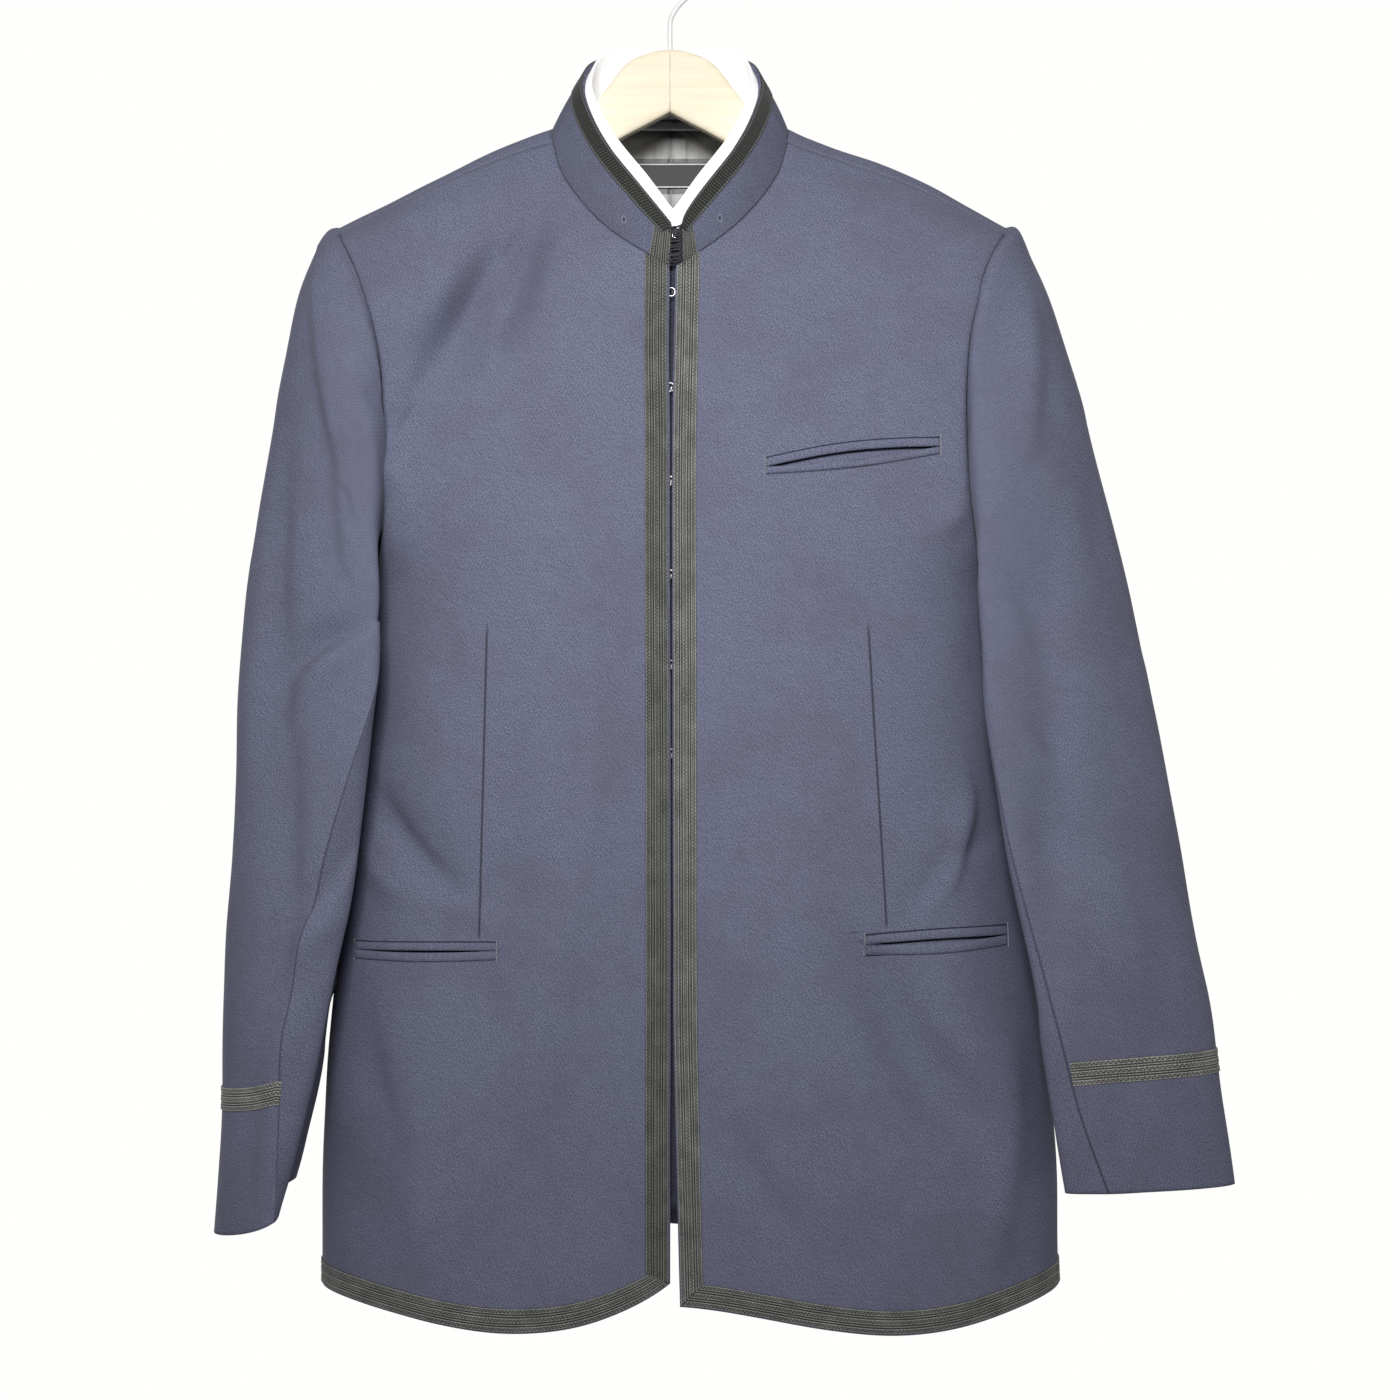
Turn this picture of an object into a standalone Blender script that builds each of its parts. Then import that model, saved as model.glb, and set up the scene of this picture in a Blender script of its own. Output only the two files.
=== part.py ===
"""A stand-collar school uniform jacket with ribbed braid, on its wooden hanger.

Metres, +Z up. The front faces -Y and +X is to the right as it is looked at. The origin
is the inside top of the hanger's hook, where the hook bears on whatever holds it.
The tables are in millimetres.
"""
import math

import bmesh
import bpy
import numpy as np
from mathutils import Vector
from mathutils.bvhtree import BVHTree

MM = 0.001

# Cloth and trim
CLOTH = 2.0 * MM
COLLAR_CLOTH = 2.6 * MM
LINER_WALL = 1.0 * MM
LINING_WALL = 1.0 * MM
BRAID_WALL = 1.2 * MM
BRAID_WIDTH = 15.0 * MM
GAP = 0.35 * MM
SECTION_ROUND = 0.85      # below 1 squares a panel's section off, 1 is an ellipse

# How the jacket opens down its front
EDGE_TAPE = 0.045         # share of a front that its edge braid covers, at the waist
UNDERLAP_X = (-24.0, -14.0, 2.0, 18.0)
UNDERLAP_LEVELS = (0.75, 1, 1.5, 2, 2.5, 3, 4, 5, 6, 7, 8, 9, 9.7)
UNDERLAP_CLOTH = 1.4 * MM
UNDERLAP_SET_BACK = 2.0 * MM

# Hanger and hook
HOOK_WIRE = 1.6 * MM      # radius
HOOK_BEND = 22.0 * MM     # inside radius of the arc that hangs on the peg
SHANK_DEPTH = 12.0 * MM

# Hooks and eyes: wire radius, heights down the front, and how far each part reaches
# from the middle of the opening
FASTENER_WIRE = 0.45 * MM
FASTENER_HEIGHTS = (-246.0, -306.0, -365.0, -424.0, -481.0, -537.0)
COLLAR_FASTENER_HEIGHT = -214.0
FASTENER_SET_BACK = 0.6 * MM
COLLAR_FASTENER_SET_BACK = 3.2 * MM
EYE_MIDDLE = -0.9 * MM
EYE_REACH = 2.0 * MM
EYE_HALF_HEIGHT = 2.3 * MM
EYE_TAIL = 5.5 * MM
HOOK_TAIL = 9.0 * MM
HOOK_BEHIND_EYE = 1.5 * MM
NOSE_X = -0.4 * MM

LEFT = -1.0               # the side at -X, the wearer's right
RIGHT = 1.0
SAG_SHAPE = {LEFT: 0.7, RIGHT: 1.25}    # below 1, a hem dips nearer its front edge
SAG_NARROWNESS = 1.3
ARMPIT_ROW = 6            # the row of both tables that crosses the armpit
ARMHOLE_MIDDLE = -0.315   # height of the armholes' middle
ARMHOLE_FLATNESS = 1.6    # how much narrower than tall they are, for their walls' slant

# Rows of a front, hem to shoulder seam. "in" is the front edge and neckline, "out" is
# the side seam and armhole; x runs out from the middle line. full_y is how far the
# panel stands forward between them, and sag lowers its middle.
FRONT_COLUMNS = ("in_left", "in_right", "in_y", "in_z_left", "in_z_right", "out_left",
                 "out_right", "out_y", "out_z", "full_y", "sag_left", "sag_right")
FRONT_ROWS = (
    # hem
    (0.8, 6.9, -56, -872, -887, 228.0, 255.5, 16, -884, -83, 24.3, 17.5),
    (0.2, 4.4, -57, -782, -784, 228.0, 252.5, 16, -784, -82, 0, 0),
    (-0.4, 3.0, -58, -716, -716, 223.5, 243.5, 16, -716, -80, 0, 0),
    # hip pockets
    (-0.8, 2.7, -59, -650, -650, 216.0, 233.0, 15, -650, -78, 0, 0),
    (-0.9, 2.7, -60, -585, -585, 209.0, 224.0, 14, -585, -76, 0, 0),
    (-0.9, 2.7, -61, -510, -510, 202.0, 216.0, 10, -510, -74, 0, 0),
    # armpit
    (-0.8, 2.8, -61, -432, -432, 195.0, 208.0, 0, -432, -72, 0, 0),
    (-0.4, 3.0, -62, -398, -398, 184.5, 197.0, -34, -404, -71, 0, 0),
    (0.2, 3.6, -62, -331, -331, 180.8, 189.0, -50, -331, -68, 0, 0),
    (0.7, 4.2, -62, -278, -278, 185.0, 190.5, -51, -278, -64, 0, 0),
    # the neckline begins at the collar's front ends
    (1.2, 4.6, -62, -230.3, -230.3, 192.5, 196.1, -47, -249.4, -58, 0, 0),
    (32.9, 34.5, -54, -209.2, -209.2, 198.5, 200.0, -41, -233, -51, 0, 0),
    (53.4, 54.4, -43, -188.7, -188.7, 206.0, 207.0, -34, -217, -43, 0, 0),
    (69.8, 70.6, -27, -162.9, -162.9, 211.5, 213.5, -26, -207, -33, -2, -2),
    # shoulder seam
    (76.0, 76.6, -13, -141.0, -141.0, 215.2, 218.5, -17, -200.5, -15, -4, -5),
)

# Rows of a back half, hem to shoulder seam: "in" is the centre seam and back neckline.
BACK_COLUMNS = ("in_x", "in_y", "in_z", "out_left", "out_right", "out_y", "out_z",
                "full_y", "sag_left", "sag_right")
BACK_ROWS = (
    (0.2, 58, -858, 228.0, 255.5, 16, -884, 64, 0, 0),
    (0.2, 58, -784, 228.0, 252.5, 16, -784, 64, 0, 0),
    (0.2, 57, -716, 223.5, 243.5, 16, -716, 62, 0, 0),
    (0.2, 55, -650, 216.0, 233.0, 15, -650, 60, 0, 0),
    (0.2, 53, -585, 209.0, 224.0, 14, -585, 58, 0, 0),
    (0.2, 53, -510, 202.0, 216.0, 10, -510, 57, 0, 0),
    (0.2, 54, -432, 195.0, 208.0, 0, -432, 58, 0, 0),
    (0.2, 55, -398, 188.0, 200.0, 32, -402, 59, 0, 0),
    (0.2, 55, -331, 184.5, 192.5, 47, -331, 59, 0, 0),
    (0.2, 55, -240, 189.0, 194.5, 48, -275, 57, 0, 0),
    # the neckline begins at the collar's middle
    (0.2, 50, -113, 196.0, 200.0, 43, -243, 53, 6, 6),
    (45.0, 40, -117, 204.0, 206.5, 31, -219, 43, 5, 5),
    (68.5, 21, -124, 211.0, 213.5, 16, -203, 26, 0, 0),
    (77.4, 0, -130.5, 216.0, 219.2, -6, -195.5, -1, -4, -6),
    (76.0, -13, -141.0, 215.2, 218.5, -17, -200.5, -15, -4, -5),
)
NECK_ROW = 10             # the row of both tables where the neckline begins

# Soft folds: a line from start to end on a panel, a ridge (+) or a trough (-).
FOLD_COLUMNS = ("x0", "z0", "x1", "z1", "half_width", "height")
FOLDS = {
    "front_left": ((-92, -228, -172, -322, 24, -5.0), (-70, -430, -78, -800, 26, 6.0),
                   (-192, -560, -134, -640, 20, -5.0), (-150, -700, -140, -880, 30, 4.0)),
    "front_right": ((90, -240, 140, -330, 30, -4.0), (75, -430, 70, -800, 34, 4.0),
                    (130, -670, 200, -785, 26, -6.0), (178, -560, 190, -650, 22, 4.0)),
    "back_left": ((-120, -300, -90, -700, 34, 5.0), (-170, -620, -165, -880, 30, 5.0)),
    "back_right": ((110, -320, 95, -720, 34, 5.0), (180, -600, 178, -880, 30, 5.0)),
}

# Rows of a sleeve, armhole to cuff: its outer and inner lines as they are seen from the
# front, its front and back, and how far its front leans in over the body.
SLEEVE_COLUMNS = ("out_x", "out_z", "in_x", "in_z", "front_y", "back_y", "lean")
SLEEVE_ROWS = {
    LEFT: (
        (215.6, -201, 195.8, -432, -50, 47, 22),
        (225.5, -200, 197.5, -437, -56, 52, 26),
        (233.5, -213, 198.5, -443, -61, 55, 30),
        (243.0, -245, 199.5, -451, -66, 56, 35),
        (253.5, -297, 201.0, -462, -70, 56, 40),
        (265.0, -362, 202.5, -480, -73, 55, 45),
        (273.5, -425, 204.5, -508, -76, 53, 46),
        (278.0, -510, 207.5, -562, -79, 50, 46),
        (282.5, -600, 213.0, -630, -83, 46, 45),
        (286.0, -670, 220.5, -690, -86, 40, 39),
        (287.5, -730, 228.0, -742, -88, 34, 34),
        (287.5, -785, 235.0, -788, -90, 28, 28),
        (290.5, -842, 241.0, -812, -91, 24, 21),
    ),
    RIGHT: (
        (218.9, -201, 208.8, -432, -50, 47, 24),
        (228.0, -196, 210.5, -437, -55, 51, 28),
        (236.0, -213, 211.5, -442, -59, 53, 32),
        (248.0, -243, 212.5, -449, -63, 53, 36),
        (261.0, -286, 213.5, -460, -67, 52, 40),
        (276.0, -340, 215.0, -476, -70, 50, 44),
        (293.5, -412, 217.5, -500, -73, 46, 47),
        (307.5, -480, 222.0, -550, -76, 40, 50),
        (325.5, -577, 230.5, -615, -78, 32, 53),
        (339.5, -660, 239.5, -680, -79, 22, 53),
        (347.5, -705, 245.0, -717, -78, 14, 53),
        (354.5, -762, 250.5, -766, -75, 4, 50),
        (361.0, -812, 254.5, -814, -71, -4, 44),
    ),
}
# The front seam's turn round the sleeve from its outer line, for the rows above, and
# the back seam's.
FRONT_SEAM = {
    LEFT: (140, 138, 136, 134, 130, 125, 120, 108, 84, 67, 66, 75, 94),
    RIGHT: (140, 138, 136, 134, 130, 125, 120, 112, 102, 95, 90, 85, 79),
}
BACK_SEAM = 255
CUFF_BAND_ROW = 10.5

# The collar's base follows the neckline. These are x, y, z of its top edge on one side,
# from the front end round to the back, with x out from the middle line.
COLLAR_TOP = (
    (1.0, -60, -202.5),
    (20.0, -53, -177.5),
    (39.8, -41, -150.4),
    (52.2, -25, -125.8),
    (58.3, -5, -101.4),
    (52.0, 22, -80.0),
    (30.0, 42, -71.5),
    (0.0, 48, -69.5),
)
COLLAR_TOP_SHIFT = 2.6    # the collar's ends meet this far right of the middle line
COLLAR_BELLY = 1.5        # how far the collar swells between its base and top
COLLAR_TAPE = 11.0        # width of the braid round the collar's top edge
COLLAR_END_TAPE = 13.0    # and of the braid up its two ends
END_TAPE_SHORT = 3.2      # how far below 0.7 of the collar's height that braid stops
LINER_RISE_FRONT = 7.0    # how far the liner stands above the collar's top edge
LINER_RISE_BACK = 3.0

# The plain label inside the back of the neck
LABEL_HALF_WIDTH = 32.0
LABEL_ROWS = (-141.5, -150.0, -158.5)
LABEL_WALL = 0.8 * MM

# Stations of a hanger half, from the joint out to the tip. A roundness of 1 makes its
# section an ellipse, and less makes it a board.
HANGER_COLUMNS = ("x", "top_z", "height", "depth", "y", "roundness")
HANGER_ROWS = (
    (0.15, -78.4, 41.3, 13, 0, 0.35),
    (14, -80.6, 46.5, 13, 0, 0.35),
    (29, -88.4, 46.6, 13, 0, 0.35),
    (45.6, -109.5, 35.6, 13, 0, 0.4),
    (60, -124.5, 32.0, 13, 1, 0.55),
    (77, -134.3, 31.0, 14, 2, 0.7),
    (124, -152.5, 29.0, 17, 1, 0.85),
    (179, -179.6, 25.0, 21, -1, 0.85),
    (200, -192.2, 20.0, 21, -2.5, 0.85),
    (206, -199.5, 10.0, 14, -3, 0.85),
)

# Pockets on the fronts: where each mouth runs, and how wide its lips are.
POCKET_COLUMNS = ("side", "x0", "z0", "x1", "z1", "lip", "mouth")
POCKETS = {
    "breast": (RIGHT, 60.5, -355.5, 169.5, -342.0, 5.0, 2.6),
    "hip_left": (LEFT, -107.5, -661.5, -203.0, -664.0, 6.0, 2.4),
    "hip_right": (RIGHT, 124.0, -658.5, 217.0, -655.0, 6.0, 2.4),
}

# Samples along the rows and columns of the big pieces
ACROSS = (0.0, EDGE_TAPE, 0.13, 0.23, 0.34, 0.45, 0.56, 0.67, 0.78, 0.89, 1.0)
LEVELS = (0, 0.14, 0.6, 1, 1.5, 2, 2.5, 3, 3.5, 4, 4.5, 5, 5.5, 6, 6.4, 7, 7.5, 8, 8.5, 9,
          9.5, 10, 10.6, 11.3, 12, 12.6, 13.3, 14)
SLEEVE_STEPS = (0, 0.5, 1, 1.5, 2, 3, 4, 5, 6, 7, 7.5, 8, 8.5, 9, 9.5, 10, 10.5, 11, 11.5, 12)

COLOURS = {
    "cloth": (0.062, 0.068, 0.115), "braid": (0.055, 0.056, 0.048),
    "liner": (0.85, 0.86, 0.86), "lining": (0.075, 0.075, 0.078),
    "label": (0.03, 0.03, 0.033), "wood": (0.86, 0.68, 0.44),
    "hook": (0.83, 0.83, 0.81), "metal": (0.72, 0.72, 0.74),
}


def clear_scene():
    for item in list(bpy.data.objects):
        bpy.data.objects.remove(item, do_unlink=True)


def material(finish):
    """The finish's Principled material, made once."""
    found = bpy.data.materials.get(finish)
    if found:
        return found
    made = bpy.data.materials.new(finish)
    made.use_nodes = True
    shader = made.node_tree.nodes["Principled BSDF"]
    shader.inputs["Base Color"].default_value = (*COLOURS[finish], 1.0)
    shader.inputs["Roughness"].default_value = 0.35 if finish in ("metal", "liner") else 0.85
    shader.inputs["Metallic"].default_value = 1.0 if finish == "metal" else 0.0
    made.diffuse_color = (*COLOURS[finish], 1.0)
    return made


def column(rows, names, name):
    """One named column of a table, as an array."""
    return np.array([row[names.index(name)] for row in rows], dtype=float)


def through(values, at, knots=None):
    """A smooth curve through values at rows 0, 1, 2..., read at the given rows.

    Cubic Hermite spans, whose slope at a value follows its two neighbours. knots are the
    rows' places along the piece, for rows that aren't evenly spaced.
    """
    values = np.asarray(values, dtype=float)
    at = np.asarray(at, dtype=float)
    knots = np.arange(len(values), dtype=float) if knots is None else knots
    slope = np.gradient(values, knots, axis=0)
    first = np.clip(np.floor(at).astype(int), 0, len(values) - 2)
    t = at - first
    t = t.reshape(t.shape + (1,) * (values.ndim - 1))
    span = (knots[first + 1] - knots[first]).reshape(t.shape)
    start, end = values[first], values[first + 1]
    return ((2 * t**3 - 3 * t**2 + 1) * start + (t**3 - 2 * t**2 + t) * span * slope[first]
            + (3 * t**2 - 2 * t**3) * end + (t**3 - t**2) * span * slope[first + 1])


def through_corner(values, at, knots, corner):
    """The same curve with a corner at one of its rows."""
    values = np.asarray(values, dtype=float)
    at = np.asarray(at, dtype=float)
    below = through(values[:corner + 1], np.minimum(at, corner), knots[:corner + 1])
    above = through(values[corner:], np.maximum(at - corner, 0), knots[corner:])
    pick = (at <= corner).reshape(at.shape + (1,) * (values.ndim - 1))
    return np.where(pick, below, above)


def panel_rows(piece, side):
    """The inner points, outer points, fullness and sag of a panel's rows, in metres."""
    hand = "left" if side == LEFT else "right"
    if piece == "front":
        rows, names = FRONT_ROWS, FRONT_COLUMNS
        inner_x = column(rows, names, "in_" + hand)
        inner_x[NECK_ROW + 1:] *= side
        inner_z = column(rows, names, "in_z_" + hand)
    else:
        rows, names = BACK_ROWS, BACK_COLUMNS
        inner_x = side * column(rows, names, "in_x")
        inner_z = column(rows, names, "in_z")
    inner = np.stack([inner_x, column(rows, names, "in_y"), inner_z], axis=-1)
    outer = np.stack([side * column(rows, names, "out_" + hand),
                      column(rows, names, "out_y"), column(rows, names, "out_z")], axis=-1)
    full_y = column(rows, names, "full_y")
    sag = column(rows, names, "sag_" + hand)
    return inner * MM, outer * MM, full_y * MM, sag * MM


def fold_height(folds, x, z):
    """How far the folds stand out at x, z: a bell across each line, fading at its ends."""
    height = np.zeros_like(x)
    for row in folds:
        fold = dict(zip(FOLD_COLUMNS, row))
        start = np.array([fold["x0"], fold["z0"]]) * MM
        along = np.array([fold["x1"], fold["z1"]]) * MM - start
        length = np.hypot(*along)
        along = along / length
        run = (x - start[0]) * along[0] + (z - start[1]) * along[1]
        off = (x - start[0]) * along[1] - (z - start[1]) * along[0]
        share = np.clip(run / length, 0, 1)
        beyond = np.abs(run - share * length)
        across = np.hypot(off, beyond) / (fold["half_width"] * MM)
        fade = 0.35 + 0.65 * np.sin(math.pi * share)
        height += fold["height"] * MM * np.exp(-across**2) * fade
    return height


def panel_points(piece, side, across, levels):
    """A panel's outer surface: a grid with a row for each level and a column for each
    share of the way across.

    Across, x goes as the sine and depth as a power of the cosine, so that a panel is
    full in the middle and turns back to its side seam. Depth comes to the edges' own at
    the two edges.
    """
    inner, outer, full_y, sag = panel_rows(piece, side)
    middle = (inner + outer) / 2
    steps = np.linalg.norm(np.diff(middle, axis=0), axis=1)
    knots = np.concatenate([[0.0], np.cumsum(steps)])
    levels = np.asarray(levels, dtype=float)
    angle = np.asarray(across, dtype=float) * math.pi / 2
    run = np.sin(angle)
    turn = np.where(angle < math.pi / 2 - 1e-6, np.cos(angle), 0.0) ** SECTION_ROUND
    start = through_corner(inner, levels, knots, NECK_ROW)[:, None, :]
    end = through_corner(outer, levels, knots, ARMPIT_ROW)[:, None, :]
    full = through(full_y, levels, knots)[:, None]
    side_y = outer[:, 1]
    for _ in range(4):
        around = np.concatenate([side_y[:1], side_y, side_y[-1:]])
        side_y = (around[:-2] + 2 * side_y + around[2:]) / 4
    side_y[-2:] = outer[-2:, 1]
    side_depth = through(side_y, levels, knots)[:, None]
    points = start + (end - start) * run[None, :, None]
    near_front = (1 - run[None, :]) ** 2
    near_side = run[None, :] ** 10
    points[..., 1] = (side_depth + (full - side_depth) * turn[None, :]
                      + (start[..., 1] - full) * near_front
                      + (end[..., 1] - side_depth) * near_side)
    dip = np.maximum(np.sin(math.pi * run ** SAG_SHAPE[side]), 0) ** SAG_NARROWNESS
    points[..., 2] -= through(sag, levels, knots)[:, None] * dip[None, :]
    outward = -1.0 if piece == "front" else 1.0
    hand = "left" if side == LEFT else "right"
    fade = np.sqrt(np.clip(np.sin(math.pi * run), 0, 1))[None, :]
    folds = fold_height(FOLDS[piece + "_" + hand], points[..., 0], points[..., 2])
    points[..., 1] += outward * folds * fade
    return points


def normals_of(points, facing):
    """Unit normals of a grid of points, turned to the side that facing points to."""
    down_columns = np.gradient(points, axis=0)
    along_rows = np.gradient(points, axis=1)
    normal = np.cross(along_rows, down_columns)
    normal /= np.linalg.norm(normal, axis=-1, keepdims=True) + 1e-12
    if np.sum(normal * np.asarray(facing)) < 0:
        normal = -normal
    return normal


def unit(vectors):
    return vectors / (np.linalg.norm(vectors, axis=-1, keepdims=True) + 1e-12)


def add_object(name, vertices, faces, finish):
    """A closed mesh object with its faces turned out."""
    mesh = bpy.data.meshes.new(name)
    mesh.from_pydata([tuple(v) for v in vertices], [], faces)
    work = bmesh.new()
    work.from_mesh(mesh)
    bmesh.ops.recalc_face_normals(work, faces=work.faces)
    if work.calc_volume(signed=True) < 0:
        bmesh.ops.reverse_faces(work, faces=work.faces)
    bmesh.ops.triangulate(work, faces=work.faces)
    work.to_mesh(mesh)
    work.free()
    mesh.materials.append(material(finish))
    made = bpy.data.objects.new(name, mesh)
    bpy.context.collection.objects.link(made)
    return made


def wall_between(name, outside, inside, finish):
    """A closed wall between two grids of points, stitched along its four borders."""
    rows, columns = outside.shape[:2]
    index = np.arange(rows * columns).reshape(rows, columns)
    count = rows * columns
    quads = np.stack([index[:-1, :-1], index[:-1, 1:], index[1:, 1:], index[1:, :-1]], -1)
    faces = [tuple(q) for q in quads.reshape(-1, 4).tolist()]
    faces += [tuple(v + count for v in reversed(q)) for q in quads.reshape(-1, 4).tolist()]
    border = np.concatenate([index[0, :], index[1:, -1], index[-1, -2::-1], index[-2:0:-1, 0]])
    border = border.tolist()
    for first, second in zip(border, border[1:] + border[:1]):
        faces.append((second, first, first + count, second + count))
    vertices = np.concatenate([outside.reshape(-1, 3), inside.reshape(-1, 3)])
    return add_object(name, vertices, faces, finish)


def solid_of_rings(name, rings, finish):
    """A closed solid through rings of points, capped at both ends."""
    steps, around = rings.shape[:2]
    index = np.arange(steps * around).reshape(steps, around)
    following = np.roll(index, -1, axis=1)
    quads = np.stack([index[:-1], following[:-1], following[1:], index[1:]], -1)
    faces = [tuple(q) for q in quads.reshape(-1, 4).tolist()]
    faces.append(tuple(index[0, ::-1].tolist()))
    faces.append(tuple(index[-1].tolist()))
    return add_object(name, rings.reshape(-1, 3), faces, finish)


def tube(name, path, radius, sides, finish):
    """A round wire along a path of points."""
    path = np.asarray(path, dtype=float)
    tangent = unit(np.gradient(path, axis=0))
    across = unit(np.cross(tangent, np.array([0.37, 0.91, 0.18])))
    for i in range(1, len(path)):
        across[i] = across[i - 1] - tangent[i] * np.dot(across[i - 1], tangent[i])
        across[i] /= np.linalg.norm(across[i])
    other = np.cross(tangent, across)
    turn = np.linspace(0, 2 * math.pi, sides, endpoint=False)
    rings = (path[:, None, :] + radius * (np.cos(turn)[None, :, None] * across[:, None, :]
                                          + np.sin(turn)[None, :, None] * other[:, None, :]))
    return solid_of_rings(name, rings, finish)


def armhole_inward(points):
    """Directions in the armhole's own plane, from its edge towards its middle."""
    inward = np.array([0.0, 0.0, ARMHOLE_MIDDLE]) - points
    inward[..., 0] = 0.0
    inward[..., 1] *= ARMHOLE_FLATNESS
    return unit(inward)


def edge_inward(piece, side, grid, levels, inward):
    """Sets the directions that a panel's wall takes at its seams, which its neighbours
    share, so that two walls meet on one plane there."""
    levels = np.asarray(levels)
    armhole = armhole_inward(grid[:, -1])
    below = np.tile(np.array([-side, 0.0, 0.0]), (len(levels), 1))
    mix = np.clip((levels - (ARMPIT_ROW - 0.5)) / 0.9, 0, 1)[:, None]
    inward[:, -1] = unit(below * (1 - mix) + armhole * mix)
    inward[-1, :] = unit(np.array([0.0, 0.35, -1.0]))
    inward[-1, -1] = unit(inward[-1, -1] + armhole[-1])
    return inward


def trimmed(grid, piece):
    """The grid pulled back a little at the seams that it shares with a neighbour."""
    grid = grid.copy()
    half = GAP / 2
    side_step = unit(grid[:, -2] - grid[:, -1])
    grid[:, -1] += side_step * half * 1.3
    top_step = unit(grid[-2, :] - grid[-1, :])
    grid[-1, :] += top_step * half
    if piece == "back":
        grid[:, 0] += unit(grid[:, 1] - grid[:, 0]) * 0.02 * MM
    return grid


def shirt_panel(piece, side):
    """A front or a back half, as a wall of cloth."""
    hand = "left" if side == LEFT else "right"
    grid = trimmed(panel_points(piece, side, ACROSS, LEVELS), piece)
    facing = (0, -1, 0) if piece == "front" else (0, 1, 0)
    inward = -normals_of(grid, facing)
    inward = edge_inward(piece, side, grid, LEVELS, inward)
    if piece == "back":
        inward[:, 0, 0] = 0.0
        inward[:, 0] = unit(inward[:, 0])
    inside = grid + inward * CLOTH
    made = wall_between(piece + "_" + hand, grid, inside, "cloth")
    return made, grid, inside


def armhole_loop(side):
    """The armhole's edge from the shoulder down the front to the armpit and up the back,
    with the turn, in degrees, that each of its points has on the sleeve."""
    levels = [level for level in LEVELS if level >= ARMPIT_ROW]
    front = panel_points("front", side, (0.5, 1.0), levels)[::-1, -1]
    back = panel_points("back", side, (0.5, 1.0), levels)[:, -1]

    def shares(points):
        steps = np.linalg.norm(np.diff(points, axis=0), axis=1)
        run = np.concatenate([[0], np.cumsum(steps)])
        return run / run[-1]

    loop = np.concatenate([front, back[1:]])
    turn = np.concatenate([180 * shares(front), 180 + 180 * shares(back)[1:]])
    return loop, turn


def sleeve_points(side, turn, steps, loop, loop_turn):
    """A sleeve's outer surface. Each ring is an ellipse between the sleeve's outer and
    inner lines that leans in at the front, and the first ones are drawn to the armhole.

    turn has the angle of each column at each step, in degrees.
    """
    rows = SLEEVE_ROWS[side]
    table = {name: through(column(rows, SLEEVE_COLUMNS, name), steps)[:, None] * MM
             for name in SLEEVE_COLUMNS}
    angle = np.radians(turn)
    cosine, sine = np.cos(angle), np.sin(angle)

    def ring(values):
        x = ((values["out_x"] + values["in_x"]) / 2 + (values["out_x"] - values["in_x"]) / 2
             * cosine - values["lean"] * np.maximum(sine, 0) ** 2)
        y = ((values["front_y"] + values["back_y"]) / 2
             + (values["front_y"] - values["back_y"]) / 2 * sine)
        z = ((values["out_z"] + values["in_z"]) / 2
             + (values["out_z"] - values["in_z"]) / 2 * cosine)
        return np.stack([side * x, y, z], axis=-1)

    points = ring(table)
    first = {name: np.full((len(steps), 1), column(rows, SLEEVE_COLUMNS, name)[0] * MM)
             for name in SLEEVE_COLUMNS}
    armhole = np.stack([np.interp(turn, loop_turn, loop[:, axis]) for axis in range(3)], -1)
    armhole[..., 0] += side * 0.45 * MM
    weight = np.clip(1 - np.asarray(steps, dtype=float) / 4.0, 0, 1)[:, None, None]
    weight = weight**2 * (3 - 2 * weight)
    return points + (armhole - ring(first)) * weight


def sleeve_columns(side, steps, loop_turn):
    """The turns of the top and under sleeves' columns at each step. At the armhole they
    are those of its own points; further down they follow the two seams."""
    front_seam = through(np.array(FRONT_SEAM[side], dtype=float), steps)[:, None]
    split_front = int(np.argmin(np.abs(loop_turn - FRONT_SEAM[side][0])))
    split_back = int(np.argmin(np.abs(loop_turn - BACK_SEAM)))
    front_turn, back_turn = loop_turn[split_front], loop_turn[split_back]
    begin = front_turn + front_seam - front_seam[0]
    under = loop_turn[split_front:split_back + 1]
    under = begin + (back_turn - begin) * ((under - front_turn) / (back_turn - front_turn))
    top = np.concatenate([loop_turn[split_back:-1] - 360, loop_turn[:split_front + 1]])
    share = (top - top[0]) / (top[-1] - top[0])
    top = (back_turn - 360) + (begin - (back_turn - 360)) * share
    return top, under


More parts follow.
